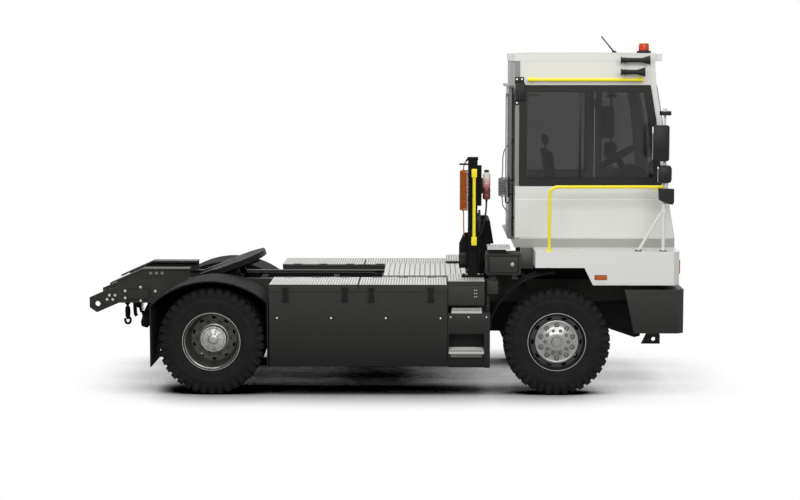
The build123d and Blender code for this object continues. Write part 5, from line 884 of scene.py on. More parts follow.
# Hose mast. A black channel post with a cap, strap brackets for the coils and a grey coupling plate with
# two air unions. The unions are turned brass, gone dark brown with handling.
work = bmesh.new()
add_block(work, (0.896, -0.946, 2.370), (1.004, -0.854, 2.399), 4)
add_block(work, (0.812, -0.918, 2.318), (0.906, -0.902, 2.336), 3)
for z in (1.650, 1.950, 2.200):
    add_block(work, (0.899, -0.943, z), (1.001, -0.938, z + 0.030), 2)
for x, y in ((0.862, -0.955), (1.038, -0.955), (0.862, -0.845), (1.038, -0.845)):
    add_bolt(work, outward(x, y, 1.192, (0, 0, 1)), 0.010)
for z in (1.50, 2.27):
    add_block(work, (0.940, -1.014, z - 0.018), (0.984, -0.938, z - 0.012), 2)
finished("mast_straps", work, chassis_black)

grey_plate = powder_coat("grey_coupling_plate", "#2E2E2C", "#262625", 0.44, 3.0, 2.0)
work = bmesh.new()
add_block(work, (1.006, -0.925, 1.640), (1.030, -0.875, 1.860), 3)
add_block(work, (0.998, -0.915, 1.700), (1.010, -0.885, 1.730), 2)
add_block(work, (0.998, -0.915, 1.800), (1.010, -0.885, 1.830), 2)
add_block(work, (0.822, -0.866, 1.300), (0.893, -0.859, 1.420), 3)
finished("coupling_plate", work, grey_plate)
work = bmesh.new()
for z in (1.335, 1.385):
    turn_profile(work, [(0.018, 0), (0.018, 0.010), (0.013, 0.012), (0.013, 0.026), (0.016, 0.028),
                        (0.016, 0.036), (0, 0.037)], 20, outward(0.858, -0.866, z, (0, -1, 0)))
brass, tree, skin, spot = new_material("oxidised_brass")
tarnish = add_node(tree, "TexNoise", {"Vector": spot, "Scale": 60.0, "Detail": 4.0})
tone = add_node(tree, "Mix", {0: tarnish.outputs[0], 6: linear("#3A3328"), 7: linear("#1F1C18")},
                data_type="RGBA")
feed(tree, skin, {"Base Color": tone.outputs[2], "Metallic": 1.0, "Roughness": 0.32})
finished("air_unions", work, brass)

# Orange and grey leads. Polyurethane electric leads wound on a mandrel and set, so that they hang as
# springs. The jacket is satin and evenly moulded; each end goes through a black gland.


def moulded(name, colour, shade, roughness, grain_mm, depth, shine=0.2):
    """A moulded polymer: faint flow marks in the colour and a fine sparked grain."""
    material, tree, skin, spot = new_material(name)
    grain = add_node(tree, "TexNoise", {"Vector": spot, "Scale": 1000 / grain_mm, "Detail": 3.0})
    flow = add_node(tree, "TexNoise", {"Vector": spot, "Scale": 11.0, "Detail": 4.0})
    tone = add_node(tree, "Mix", {0: flow.outputs[0], 6: linear(colour), 7: linear(shade)},
                    data_type="RGBA")
    dull = add_node(tree, "MapRange", {"Value": flow.outputs[0], "To Min": roughness - 0.06,
                                       "To Max": roughness + 0.08})
    bump = add_node(tree, "Bump", {"Strength": depth, "Distance": 0.0005, "Height": grain.outputs[0]})
    feed(tree, skin, {"Base Color": tone.outputs[2], "Roughness": dull.outputs[0],
                      "Normal": bump.outputs[0], "Specular IOR Level": shine})
    return material


orange_jacket = moulded("orange_polyurethane_jacket", "#BE5F12", "#9C4A0C", 0.38, 2.0, 0.05)
grey_jacket = moulded("grey_polyurethane_jacket", "#8F908E", "#6F706E", 0.42, 2.0, 0.05)
black_abs = moulded("black_moulded_abs", "#151515", "#1E1E1E", 0.45, 2.5, 0.15)
hose_rubber = moulded("black_hose_rubber", "#161616", "#222221", 0.6, 2.0, 0.2)


def lay_lead(name, points, radius, material):
    """A lead as one smooth open spline with the points as its control points."""
    line = bpy.data.curves.new(name, "CURVE")
    line.dimensions = "3D"
    line.bevel_depth = radius
    line.bevel_resolution = 3
    line.resolution_u = 4
    run = line.splines.new("NURBS")
    run.points.add(len(points) - 1)
    for knot, place_at in zip(run.points, points):
        knot.co = (*place_at, 1.0)
    run.order_u = 3
    run.use_endpoint_u = True
    line.materials.append(material)
    lead = place(bpy.data.objects.new(name, line))
    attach(lead, "vehicle")
    return lead


def wound(axis_x, axis_y, top, low, radius, turns):
    """Control points of a spring-shaped lead that opens out from its axis and closes in again."""
    steps = 14
    whole = int(turns * steps)
    points = []
    for n in range(-7, whole + 8):
        open_by = min(1.0, (n + 8) / 8, (whole + 8 - n) / 8)
        turn = 2 * pi * n / steps
        points.append((axis_x + radius * open_by * cos(turn), axis_y + radius * open_by * sin(turn),
                       top - (top - low) * n / whole))
    return points


# Leads: name, CAD node, coil axis, top, bottom, radius, turns, points before, points after, diameter,
# length, slot.
LEADS = (("orange_lead", "coil_orange", (0.858, -0.910), 2.262, 1.860, 0.0378, 29,
          ((0.902, -0.910, 2.382), (0.864, -0.910, 2.340), (0.858, -0.910, 2.300)),
          ((0.858, -0.910, 1.800), (0.858, -0.910, 1.644), (0.868, -0.860, 1.560)), 0.012, 7.298,
          orange_jacket), ("grey_lead", "coil_grey", (1.262, -0.690), 2.172, 1.988, 0.0428, 11,
          ((1.374, -0.690, 2.586), (1.262, -0.690, 2.486), (1.262, -0.690, 2.260)),
          ((1.262, -0.690, 1.930), (1.262, -0.690, 1.873), (1.380, -0.690, 1.758)), 0.012, 3.757,
          grey_jacket))
rods = bmesh.new()
for name, node, axis, top, low, radius, turns, before, after, thick, length, jacket in LEADS:
    turn_profile(rods, [(0, low + 0.020), (radius - 0.012, low + 0.022), (radius - 0.012, top - 0.022),
                        (0, top - 0.020)], 24, Matrix.Translation((*axis, 0)))
    glands = bmesh.new()
    for tip, inward in ((before[0], before[1]), (after[-1], after[-2])):
        way = Vector(inward) - Vector(tip)
        turn_profile(glands, [(0.0125, 0.002), (0.0125, 0.010), (0.0105, 0.012), (0.0095, 0.030),
                              (0.0066, 0.034)], 16, outward(*tip, way))
    gland = finished(f"{name}_glands", glands, black_abs)
    lead = lay_lead(name, before + tuple(wound(*axis, top, low, radius, turns)) + after, thick / 2, jacket)
    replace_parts(lead, node)
finished("coil_rods", rods, black_abs)

# Fluid bottle. A blow-moulded polypropylene bottle with moulded belts, red fluid in its lower half and a
# black screw cap. It sits in a black strap bracket; a rubber hose drains it into the mast.
fluid, tree, skin, spot = new_material("filled_polypropylene_bottle")
height = add_node(tree, "SeparateXYZ", {0: spot})
cloud = add_node(tree, "TexNoise", {"Vector": spot, "Scale": 25.0, "Detail": 3.0})
wobble = add_node(tree, "Math", {0: cloud.outputs[0], 1: 0.012}, operation="MULTIPLY")
level = add_node(tree, "Math", {0: height.outputs["Z"], 1: wobble.outputs[0]}, operation="ADD")
full = add_node(tree, "MapRange", {"Value": level.outputs[0], "From Min": 2.085, "From Max": 2.110})
damp = add_node(tree, "MapRange", {"Value": level.outputs[0], "From Min": 2.125, "From Max": 2.200})
wet = add_node(tree, "Mix", {0: full.outputs[0], 6: linear("#5E1418"), 7: linear("#B9777A")},
               data_type="RGBA")
tone = add_node(tree, "Mix", {0: damp.outputs[0], 6: wet.outputs[2], 7: linear("#D8CFCB")},
                data_type="RGBA")
feed(tree, skin, {"Base Color": tone.outputs[2], "Roughness": 0.34, "Subsurface Weight": 0.15})
BOTTLE_FOOT = Matrix.Translation((1.090, -0.900, 1.967))
work = bmesh.new()
belts = [(0, 0.004), (0.026, 0.0), (0.036, 0.006), (0.0398, 0.018)]
for n in range(1, 5):
    belts += [(0.0398, 0.060 * n - 0.010), (0.0372, 0.060 * n - 0.004), (0.0372, 0.060 * n + 0.003),
              (0.0398, 0.060 * n + 0.009)]
belts += [(0.0385, 0.254), (0.032, 0.267), (0.0215, 0.276), (0.0205, 0.284)]
turn_profile(work, belts, 40, BOTTLE_FOOT)
bottle = finished("bottle_body", work, fluid, smooth=50)
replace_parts(bottle, "fluid_bottle")
work = bmesh.new()
turn_profile(work, [(0.0205, 0.278), (0.0235, 0.279), (0.0240, 0.296), (0.0215, 0.3025), (0, 0.303)], 36,
             BOTTLE_FOOT)
for n in range(24):
    add_block(work, (0.0228, -0.0012, 0.281), (0.0242, 0.0012, 0.296), 0,
              BOTTLE_FOOT @ Matrix.Rotation(2 * pi * n / 24, 4, "Z"))
add_block(work, (1.040, -0.912, 2.027), (1.054, -0.888, 2.187), 3)
holder = finished("bottle_cap_and_straps", work, black_abs)
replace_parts(holder, "fluid_bottle")
HOSE_ROUTE = ((1.090, -0.900, 1.955), (1.090, -0.900, 1.717), (0.998, -0.900, 1.547))
work = bmesh.new()
turn_profile(work, [(0.0105, -0.026), (0.0118, -0.024), (0.0118, 0.004), (0.022, 0.006)], 20, BOTTLE_FOOT)
turn_profile(work, [(0.017, 0.0005), (0.017, 0.008), (0.0125, 0.010), (0.0125, 0.030), (0.0095, 0.032)], 20,
             outward(0.998, -0.900, 1.547, (0.092, 0, 0.170)))
clips = finished("hose_clips", work, black_steel)
hose = lay_lead("bottle_hose", HOSE_ROUTE, 0.009, hose_rubber)
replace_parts(hose, "fluid_bottle")

# Oil tank. Folded and welded steel, painted black, with a breather cap and a level valve with its lever.
# The fittings are turned and screwed into the tank; weld beads and stiffeners show on its sides.
work = bmesh.new()
turn_profile(work, [(0.045, 0), (0.045, 0.008), (0.032, 0.010), (0.032, 0.030), (0.036, 0.032),
                    (0.034, 0.046), (0, 0.048)], 28, Matrix.Translation((1.070, -0.180, 1.699)))
turn_profile(work, [(0.022, 0), (0.022, 0.014), (0.016, 0.018), (0.016, 0.040), (0, 0.041)], 20,
             outward(1.060, -0.339, 1.560, (0, -1, 0)))
add_tube(work, [(1.060, -0.374, 1.560), (1.060, -0.378, 1.600), (1.050, -0.380, 1.640)], 0.006, 8)
turn_profile(work, [(0, -0.014), (0.011, -0.010), (0.015, 0), (0.011, 0.010), (0, 0.014)], 18,
             Matrix.Translation((1.049, -0.380, 1.650)))
for z in (1.475, 1.685):
    add_tube(work, [(1.012, -0.3405, z), (1.142, -0.3405, z)], 0.004, 8)
for y in (-0.22, 0.22):
    add_block(work, (1.0065, y - 0.018, 1.470), (1.0105, y + 0.018, 1.700), 1)
finished("tank_fittings", work, chassis_black)

# Cabinet. A grey sheet-steel case; its door has a raised panel inside a dark seam, and a round silver lock.
# The step on top is ribbed aluminium plate with a folded edge.
work = bmesh.new()
DOOR_FACE = -1.100
add_block(work, (1.118, DOOR_FACE - 0.0045, 1.245), (1.402, DOOR_FACE + 0.002, 1.402), 1.5)
finished("cabinet_pressing", work, box_grey, "cabinet_front")
work = bmesh.new()
for x0, x1, z0, z1 in ((1.105, 1.415, 1.232, 1.244), (1.105, 1.415, 1.403, 1.415),
                       (1.105, 1.117, 1.244, 1.403), (1.403, 1.415, 1.244, 1.403)):
    add_block(work, (x0, DOOR_FACE - 0.0025, z0), (x1, DOOR_FACE + 0.002, z1), 1)
finished("cabinet_seam", work, black_steel, "cabinet_front")
work = bmesh.new()
turn_profile(work, [(0.021, 0), (0.021, 0.004), (0.018, 0.007), (0.010, 0.0075), (0.009, 0.006),
                    (0, 0.006)], 28, outward(1.350, DOOR_FACE - 0.004, 1.322, (0, -1, 0)))
add_block(work, (1.348, DOOR_FACE - 0.0125, 1.313), (1.352, DOOR_FACE - 0.009, 1.331))
finished("cabinet_lock", work, lip_bright, "cabinet_front")
work = bmesh.new()
ground = bmesh.new()
add_ribs(work, ground, 1.097, 1.325, -1.128, -0.794, 1.4945, 0.027, 0.78)
finished("cabinet_step_grooves", ground, groove_shade, smooth=20)
add_block(work, (1.095, -1.1325, 1.476), (1.327, -1.1285, 1.496), 1)
finished("cabinet_step", work, ribbed_plate, smooth=20)
work = bmesh.new()
add_block(work, (1.100, -1.1535, 1.036), (1.196, -1.149, 1.152), 2)
finished("small_box_cover", work, box_grey)

# Mudguards. Black polyethylene sheets, rotation-moulded with rolled edges; rubber flaps hang at both ends
# on clamp strips. Steel stays carry them from the frame.
guard_plastic = moulded("black_polyethylene", "#111111", "#171716", 0.75, 4.0, 0.2, 0.1)
flap_rubber = moulded("black_flap_rubber", "#121211", "#1D1C1B", 0.7, 5.0, 0.3)
# Guards: arc centre x and z, radius, start and end angle, inner and outer edge.
GUARDS = ((-1.700, 0.295, 0.870, 48.5, 135.0, 0.575, 1.250),
          (1.800, 0.540, 0.715, 92.0, 160.0, 0.830, 1.200))
# Flaps: rear face, front face, bottom, top, inner and outer edge.
FLAPS = ((-2.316, -2.304, 0.289, 0.918, 0.575, 1.250), (-1.131, -1.119, 0.301, 0.946, 0.575, 1.250),
         (1.128, 1.134, 0.690, 0.788, 0.830, 1.200))
sheets = bmesh.new()
flaps = bmesh.new()
stays = bmesh.new()
for side in (-1, 1):
    for x, z, radius, start, end, inner, outer in GUARDS:
        turns = [radians(start + (end - start) * n / 40) for n in range(41)]
        skin_line = [(x + radius * cos(a), z + radius * sin(a)) for a in turns]
        under_line = [(x + (radius - 0.006) * cos(a), z + (radius - 0.006) * sin(a)) for a in turns]
        add_prism(sheets, skin_line + under_line[::-1], side * inner, side * outer)
        for y in (inner + 0.008, outer - 0.008):
            roll = [(x + (radius - 0.008) * cos(a), side * y, z + (radius - 0.008) * sin(a)) for a in turns]
            add_tube(sheets, roll, 0.008, 10)
        for share in (0.30, 0.55, 0.80):
            a = radians(start + (end - start) * share)
            rib = [(x + (radius - 0.003) * cos(a), side * (inner + 0.03), z + (radius - 0.003) * sin(a)),
                   (x + (radius - 0.003) * cos(a), side * (outer - 0.03), z + (radius - 0.003) * sin(a))]
            add_tube(sheets, rib, 0.007, 8)
    for rear, front, low, high, inner, outer in FLAPS:
        near, far = sorted((side * inner, side * outer))
        add_block(flaps, (rear, near, low), (front, far, high), 2)
        for n in range(6):
            y = near + (n + 0.5) * (far - near) / 6
            add_block(flaps, (rear - 0.002, y - 0.020, low + 0.04), (front + 0.002, y + 0.020, high - 0.08),
                      2)
        add_block(stays, (rear - 0.004, near + 0.01, high - 0.055),
                  (front + 0.004, far - 0.01, high - 0.020), 2)
    for x0, x1, y0, y1, z0, z1 in ((-1.760, -1.680, 0.430, 0.595, 1.036, 1.096),
                                   (-1.760, -1.680, 0.575, 0.595, 1.036, 1.160),
                                   (1.470, 1.510, 0.430, 0.870, 1.140, 1.180),
                                   (1.470, 1.510, 0.430, 0.450, 1.036, 1.180)):
        add_block(stays, (x0, side * y0, z0), (x1, side * y1, z1), 3)
inner_wall = [(-1.700 + 0.864 * cos(radians(n)), 0.295 + 0.864 * sin(radians(n)))
              for n in range(49, 136, 6)]
inner_wall += [(-2.365, 0.850), (-2.365, 0.600), (-2.040, 0.600), (-1.960, 0.860), (-1.440, 0.860),
               (-1.360, 0.600), (-1.133, 0.600)]
for side in (-1, 1):
    add_prism(sheets, inner_wall, side * 0.5670, side * 0.5735)
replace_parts(finished("guard_sheets", sheets, guard_plastic), "mudguards")
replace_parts(finished("guard_flaps", flaps, flap_rubber), "mudguards")
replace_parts(finished("guard_stays", stays, chassis_black), "mudguards")

# Front deck and mirror posts. White sprayed sheet steel with cut-off corners; the posts are round tube,
# welded to feet. The white is a solid two-pack gloss with a clear-looking coat and a little dust low down.
cab_white = sprayed_paint("white_two_pack_gloss", "#E4E4E0", "#DDDCD6", 0.30, 12.0, 8.0, 0.4)
dress(cab_white, "front_deck", "cab_floor", "cab_front", "cab_right", "cab_left", "cab_roof",
      "cab_door_left")
# The grey of the cab's rear wall and rear door is painted shade on the side turned away from the light.
rear_shade_grey = sprayed_paint("painted_shade_rear_wall_grey", "#8E8E8A", "#868581", 0.40, 12.0, 8.0, 0.3)
dress(rear_shade_grey, "cab_rear", "cab_door_rear")
DECK_TOP = 1.467
# Posts: side, x, reach of the brace, rise of the mirrors.
POSTS = ((-1, 2.862, 0.250, 0.0), (1, 2.547, 0.150, 0.125))
tubes = bmesh.new()
feet = bmesh.new()
for side, x, brace, rise in POSTS:
    y = side * 1.150
    add_tube(tubes, [(x, y, DECK_TOP), (x, y, 1.931)], 0.0178, 24)
    add_tube(tubes, [(x - brace, y, DECK_TOP), (x - 0.010, y, 1.880)], 0.0158, 24)
    turn_profile(tubes, [(0.0178, 0.030), (0.021, 0.012), (0.026, 0.006)], 24,
                 Matrix.Translation((x, y, DECK_TOP)))
    for foot in (x, x - brace):
        add_block(feet, (foot - 0.034, y - 0.030, DECK_TOP - 0.001),
                  (foot + 0.034, y + 0.030, DECK_TOP + 0.007), 2)
        for step in (-0.025, 0.025):
            add_bolt(feet, outward(foot + step, y - 0.018, DECK_TOP + 0.006, (0, 0, 1)), 0.006)
    turn_profile(tubes, [(0.0185, 1.905), (0.0215, 1.908), (0.0215, 1.945), (0.0145, 1.949)], 24,
                 Matrix.Translation((x, y, 0)))
    add_block(tubes, (x - 0.030, y - 0.0205, 1.850), (x + 0.020, y + 0.0205, 1.895), 4)
finished("mirror_posts", tubes, cab_white)
finished("post_feet", feet, black_abs)

work = bmesh.new()
for side in (-1, 1):
    edge = [(2.180, 1.140), (2.955, 1.140), (2.955, 1.1435), (2.180, 1.1435)]
    add_prism(work, edge, side * 1.2470, side * 1.2505)
    for x in (2.20, 2.45, 2.70, 2.92):
        turn_profile(work, [(0.008, 0), (0.007, 0.002), (0, 0.003)], 14,
                     outward(x, side * 1.2495, 1.445, (0, side, 0)))
finished("deck_edge_trim", work, cab_white)
work = bmesh.new()
add_block(work, (2.985, -0.655, 1.180), (3.003, 0.655, 1.425), 2)
for n in range(7):
    z = 1.2095 + n * 0.034 - 0.018
    add_block(work, (3.0175, -0.640, z + 0.002), (3.0245, 0.640, z + 0.014), 2)
for y in (-0.42, -0.14, 0.14, 0.42):
    add_block(work, (3.000, y - 0.006, 1.185), (3.014, y + 0.006, 1.420), 1)
finished("grille", work, black_abs)
# A grey panel over the recessed skirt under the cab is painted shade.
work = bmesh.new()
add_block(work, (1.446, -0.8035, 1.252), (1.574, -0.799, 1.465), 2)
finished("skirt_shade_cover", work, grey_primer_and_shade)

# Bumper. A heavy folded steel nose in dark grey powder coat, bolted to the frame's front plates.
# A turned steel bush is pressed into each of the two tow eyes below it.
work = bmesh.new()
for side in (-1, 1):
    turn_profile(work, [(0.022, -0.002), (0.030, -0.002), (0.030, 0.034), (0.022, 0.034)], 28,
                 outward(2.866, side * 0.378, 0.460, (0, side, 0)), close=True)
finished("tow_eye_bushes", work, black_steel)

# Lamps. Polycarbonate lenses with moulded optics over bright reflectors; amber and red lenses are coloured
# through. Each lens is a thin plate with rounded edges in a black bezel.


def lens_plastic(name, colour, alpha, roughness):
    """Clear or coloured plastic with a pattern of small moulded prisms."""
    material, tree, skin, spot = new_material(name)
    optics = add_node(tree, "TexVoronoi", {"Vector": spot, "Scale": 1000 / 7.0})
    flow = add_node(tree, "TexNoise", {"Vector": spot, "Scale": 30.0})
    tone = add_node(tree, "Mix", {0: flow.outputs[0], 6: linear(colour),
                                  7: tuple(0.75 * c for c in linear(colour)[:3]) + (1.0,)},
                    data_type="RGBA")
    bump = add_node(tree, "Bump", {"Strength": 0.35, "Distance": 0.001,
                                   "Height": optics.outputs["Distance"]})
    feed(tree, skin, {"Base Color": tone.outputs[2], "Normal": bump.outputs[0], "Roughness": roughness,
                      "IOR": 1.58, "Alpha": alpha, "Specular IOR Level": 0.3})
    return material


amber_lens = lens_plastic("amber_polycarbonate", "#C95A06", 1.0, 0.3)
red_lens = lens_plastic("red_polycarbonate", "#A31515", 1.0, 0.15)
clear_lens = lens_plastic("clear_polycarbonate", "#C9CDD0", 0.35, 0.05)
beacon_lens = lens_plastic("orange_red_beacon_polycarbonate", "#D6420C", 1.0, 0.3)
dress(amber_lens, "amber_lamps")
bezels = bmesh.new()
bowls = bmesh.new()
covers = bmesh.new()
ambers = bmesh.new()
reds = bmesh.new()
for side in (-1, 1):
    near, far = sorted((side * 0.760, side * 0.960))
    add_block(bezels, (3.0215, near, 1.200), (3.0275, far, 1.390), 3)
    for y0, y1, z0, z1 in ((near, far, 1.200, 1.210), (near, far, 1.380, 1.390),
                           (near, near + 0.01, 1.200, 1.390), (far - 0.01, far, 1.200, 1.390)):
        add_block(bezels, (3.022, y0, z0), (3.045, y1, z1), 3)
    middle = (near + far) / 2
    for y in (middle - 0.045, middle + 0.045):
        turn_profile(bowls, [(0.012, 0.002), (0.024, 0.004), (0.034, 0.009), (0.040, 0.0155)], 32,
                     outward(3.0265, y, 1.295, (1, 0, 0)))
        turn_profile(bowls, [(0.0, 0.012), (0.007, 0.010), (0.010, 0.002)], 20,
                     outward(3.0265, y, 1.295, (1, 0, 0)))
    add_block(covers, (3.0425, near + 0.008, 1.208), (3.0455, far - 0.008, 1.382), 1)
    near, far = sorted((side * 0.990, side * 1.090))
    add_block(ambers, (3.0435, near + 0.004, 1.234), (3.0448, far - 0.004, 1.366), 0.5)
    for n in range(11):
        z = 1.240 + n * 0.012
        add_block(ambers, (3.043, near + 0.008, z), (3.0458, far - 0.008, z + 0.006), 1)
    for n in range(8):
        x = 2.178 + n * 0.0135
        add_block(ambers, (x, side * 1.2625, 1.194), (x + 0.008, side * 1.2655, 1.224), 1)
    add_block(bezels, (2.167, side * 1.2495, 1.185), (2.292, side * 1.2545, 1.233), 2)
    for n in range(3):
        z = 0.884 + n * 0.031
        add_block(reds, (-2.6725, side * 0.434, z), (-2.6685, side * 0.467, z + 0.028), 1.5)
    add_block(bezels, (-2.669, side * 0.430, 0.878), (-2.655, side * 0.472, 0.982), 2)
finished("lamp_bezels", bezels, black_abs)
finished("lamp_bowls", bowls, lip_bright)
finished("headlamp_lenses", covers, clear_lens)
finished("turn_lamp_optics", ambers, amber_lens)
finished("tail_lamp_optics", reds, red_lens)
dress(polished("aluminised_reflector", "#D5D7D8", 120.0, 2.0, 0.08, 0.2), "headlamps")

# Cab shell. Welded steel panels in white gloss; the sides are pressed with a crease below the window, over a
# sill band painted grey as painted shade. The window surround is a charcoal band bonded round each pane, and
# the right one has a thin rubber line at its inner edge.
NOSE_LINE = ((3.022, 1.467), (3.022, 1.566), (2.971, 1.853), (2.945, 2.098), (2.876, 2.773), (2.815, 3.128),
             (2.798, 3.370))


def nose_x(z):
    """Where the outside of the cab's front stands at a height."""
    for (x0, z0), (x1, z1) in zip(NOSE_LINE, NOSE_LINE[1:]):
        if z <= z1:
            return x0 + (x1 - x0) * (z - z0) / (z1 - z0)
    return NOSE_LINE[-1][0]


# Side pressing: height, how far it stands out in mm.
PRESSING = ((1.565, 0.0), (1.569, 4.0), (1.940, 6.0), (1.957, 7.0), (1.963, 2.0), (1.970, 2.0),
            (2.086, 17.0), (2.094, 16.0), (2.0965, 0.0))
work = bmesh.new()
for wall, side, rear, front_gap in ((-0.800, -1, 1.384, 0.006), (1.000, 1, 2.396, 0.006)):
    rows = []
    for z, out in PRESSING:
        y = wall + side * out / 1000
        rows.append([work.verts.new((x, y, z)) for x in (rear, nose_x(z) - front_gap)])
    for low, high in zip(rows, rows[1:]):
        work.faces.new((low[0], low[1], high[1], high[0]))
    for end in (0, 1):
        corner = [work.verts.new((rows[n][end].co.x, wall - side * 0.001, PRESSING[n][0]))
                  for n in range(len(rows))]
        for n in range(len(rows) - 1):
            work.faces.new((rows[n][end], rows[n + 1][end], corner[n + 1], corner[n]))
finished("side_pressings", work, cab_white, smooth=25)

# The white cab side is painted pale grey along its sill, as painted shade.
sill_shade_grey = sprayed_paint("painted_shade_sill_grey", "#A9A9A5", "#A3A29D", 0.36, 12.0, 4.0, 0.3)
work = bmesh.new()
for wall, side, rear in ((-0.800, -1, 1.382), (1.000, 1, 1.382)):
    band = [(rear, 1.471), (3.019, 1.471), (3.019, 1.557), (rear, 1.557)]
    add_prism(work, band, wall - side * 0.001, wall + side * 0.003)
finished("sill_shade_bands", work, sill_shade_grey, smooth=25)


def rounded(corners, radius, steps=6):
    """A closed outline with its corners rounded."""
    points = []
    for n, corner in enumerate(corners):
        here = Vector(corner)
        back = (Vector(corners[n - 1]) - here).normalized()
        ahead = (Vector(corners[(n + 1) % len(corners)]) - here).normalized()
        half = back.angle(ahead) / 2
        reach = radius / max(0.35, sin(half) / cos(half))
        start = here + back * reach
        end = here + ahead * reach
        for k in range(steps + 1):
            t = k / steps
            points.append(tuple(start * (1 - t) ** 2 + here * 2 * t * (1 - t) + end * t ** 2))
    return points


def add_band(work, outer, inner, to_space):
    """A flat band between two outlines with as many points, from a back level to a front level."""
    loops = []
    for outline, level in ((outer, 0), (outer, 1), (inner, 1), (inner, 0)):
        loops.append([work.verts.new(to_space(a, b, level)) for a, b in outline])
    for one, two in zip(loops, loops[1:] + loops[:1]):
        for n in range(len(one)):
            after = (n + 1) % len(one)
            work.faces.new((one[n], one[after], two[after], two[n]))


def on_side(wall, side, thick):
    """Puts an outline on a cab side, standing out from its pane."""
    return lambda a, b, level: (a, wall + side * (0.0005 + level * thick), b)


def on_rear(wall, thick):
    """Puts an outline on the cab's rear."""
    return lambda a, b, level: (wall - 0.0005 - level * thick, a, b)


def on_front(a, b, level):
    """Puts an outline on the windscreen."""
    return (nose_x(b) + 0.0065 + level * 0.002, a, b)


def side_outline(rear, low, high, back):
    """A side window's outline with its front edge along the slanting front pillar."""
    return [(rear, low), (nose_x(low) - back, low), (nose_x(2.773) - back, 2.773),
            (nose_x(high) - back, high), (rear, high)]


charcoal = moulded("charcoal_window_surround", "#1F1F1E", "#191918", 0.42, 6.0, 0.08)
seal_rubber = moulded("window_seal_rubber", "#101010", "#181818", 0.55, 3.0, 0.1)
bands = bmesh.new()
seals = bmesh.new()
door_bands = bmesh.new()
rear_bands = bmesh.new()
right_out = rounded(side_outline(1.424, 2.099, 3.127, 0.059), 0.035)
right_in = rounded(side_outline(1.487, 2.182, 3.060, 0.128), 0.045)
add_band(bands, right_out, right_in, on_side(-0.806, -1, 0.004))
add_band(seals, right_in, rounded(side_outline(1.493, 2.188, 3.054, 0.134), 0.041),
         on_side(-0.806, -1, 0.006))
add_band(bands, rounded(side_outline(2.392, 2.099, 3.118, 0.059), 0.03),
         rounded(side_outline(2.430, 2.182, 3.060, 0.126), 0.03), on_side(1.006, 1, 0.004))
add_band(bands, rounded([(-0.778, 2.100), (0.978, 2.100), (0.978, 2.773), (0.978, 3.126), (-0.778, 3.126),
                         (-0.778, 2.773)], 0.03),
         rounded([(-0.728, 2.140), (0.928, 2.140), (0.928, 2.773), (0.928, 3.086), (-0.728, 3.086),
                  (-0.728, 2.773)], 0.05), on_front)
for right, left in ((-0.789, -0.501), (0.151, 0.989)):
    add_band(bands, rounded([(right, 2.099), (left, 2.099), (left, 3.084), (right, 3.084)], 0.03),
             rounded([(right + 0.052, 2.146), (left - 0.052, 2.146), (left - 0.052, 3.038),
                      (right + 0.052, 3.038)], 0.03), on_rear(1.374, 0.003))
add_band(door_bands, rounded([(1.552, 2.122), (2.268, 2.122), (2.268, 3.058), (1.552, 3.058)], 0.035),
         rounded([(1.586, 2.158), (2.236, 2.158), (2.236, 3.024), (1.586, 3.024)], 0.04),
         on_side(1.006, 1, 0.004))
add_band(rear_bands, rounded([(-0.458, 2.082), (0.108, 2.082), (0.108, 3.028), (-0.458, 3.028)], 0.035),
         rounded([(-0.426, 2.116), (0.076, 2.116), (0.076, 2.996), (-0.426, 2.996)], 0.04),
         on_rear(1.324, 0.003))
add_block(bands, (2.032, -0.8105, 2.184), (2.056, -0.8062, 3.058), 1.5)
finished("window_surrounds", bands, charcoal, smooth=30)
finished("window_seals", seals, seal_rubber, smooth=30)
finished("left_door_surround", door_bands, charcoal, "left_door", 30)
finished("rear_door_surround", rear_bands, charcoal, "rear_door", 30)

# Glass. Dark tinted safety glass: float glass is nearly mirror smooth, with a slight roller wave and dust
# in patches that dulls it. Half of the light is lost at each face, so that the cab's inside shows dimly.
tint, tree, skin, spot = new_material("tinted_float_glass")
wave = add_node(tree, "TexNoise", {"Vector": spot, "Scale": 1000 / 300, "Detail": 1.0})
dust = add_node(tree, "TexNoise", {"Vector": spot, "Scale": 3.5, "Detail": 6.0})
dull = add_node(tree, "MapRange", {"Value": dust.outputs[0], "To Min": 0.01, "To Max": 0.07})
bump = add_node(tree, "Bump", {"Strength": 0.03, "Distance": 0.002, "Height": wave.outputs[0]})
feed(tree, skin, {"Roughness": dull.outputs[0], "Normal": bump.outputs[0], "Base Color": linear("#141618"),
                  "IOR": 1.52, "Alpha": 0.58})
dress(tint, "cab_glass", "door_glass_left", "door_glass_rear")

# Cab fittings. Door handles, hinge knuckles, the wiper and the corner bracket are black, moulded or coated.
# Zinc bolts hold the bracket. The roof's ribs are pressed into its white sheet to stiffen it.
work = bmesh.new()
for x0, x1, y0, y1, z0, z1 in ((1.382, 1.479, -0.856, -0.8105, 2.975, 3.150),
                               (1.376, 1.470, -0.816, -0.800, 3.140, 3.209),
                               (1.376, 1.418, -0.816, -0.800, 2.925, 2.980),
                               (1.312, 1.338, -0.706, -0.674, 1.975, 2.185),
                               (1.335, 1.375, -0.698, -0.682, 2.000, 2.020),
                               (1.335, 1.375, -0.698, -0.682, 2.140, 2.160)):
    add_block(work, (x0, y0, z0), (x1, y1, z1), 4)
for z in (1.747, 2.900):
    for n in range(3):
        turn_profile(work, [(0.0128, 0), (0.0128, 0.030)], 16,
                     Matrix.Translation((2.346, 1.012, z - 0.050 + n * 0.034)))
pivot = (nose_x(2.130) + 0.020, 0.150, 2.130)
turn_profile(work, [(0.020, -0.016), (0.020, 0.004), (0.014, 0.010), (0, 0.011)], 20,
             outward(*pivot, (1, 0, 0.1)))
arm = [(nose_x(z) + 0.018, 0.150 + 0.62 * (z - 2.130), z) for z in (2.130, 2.300, 2.500, 2.720)]
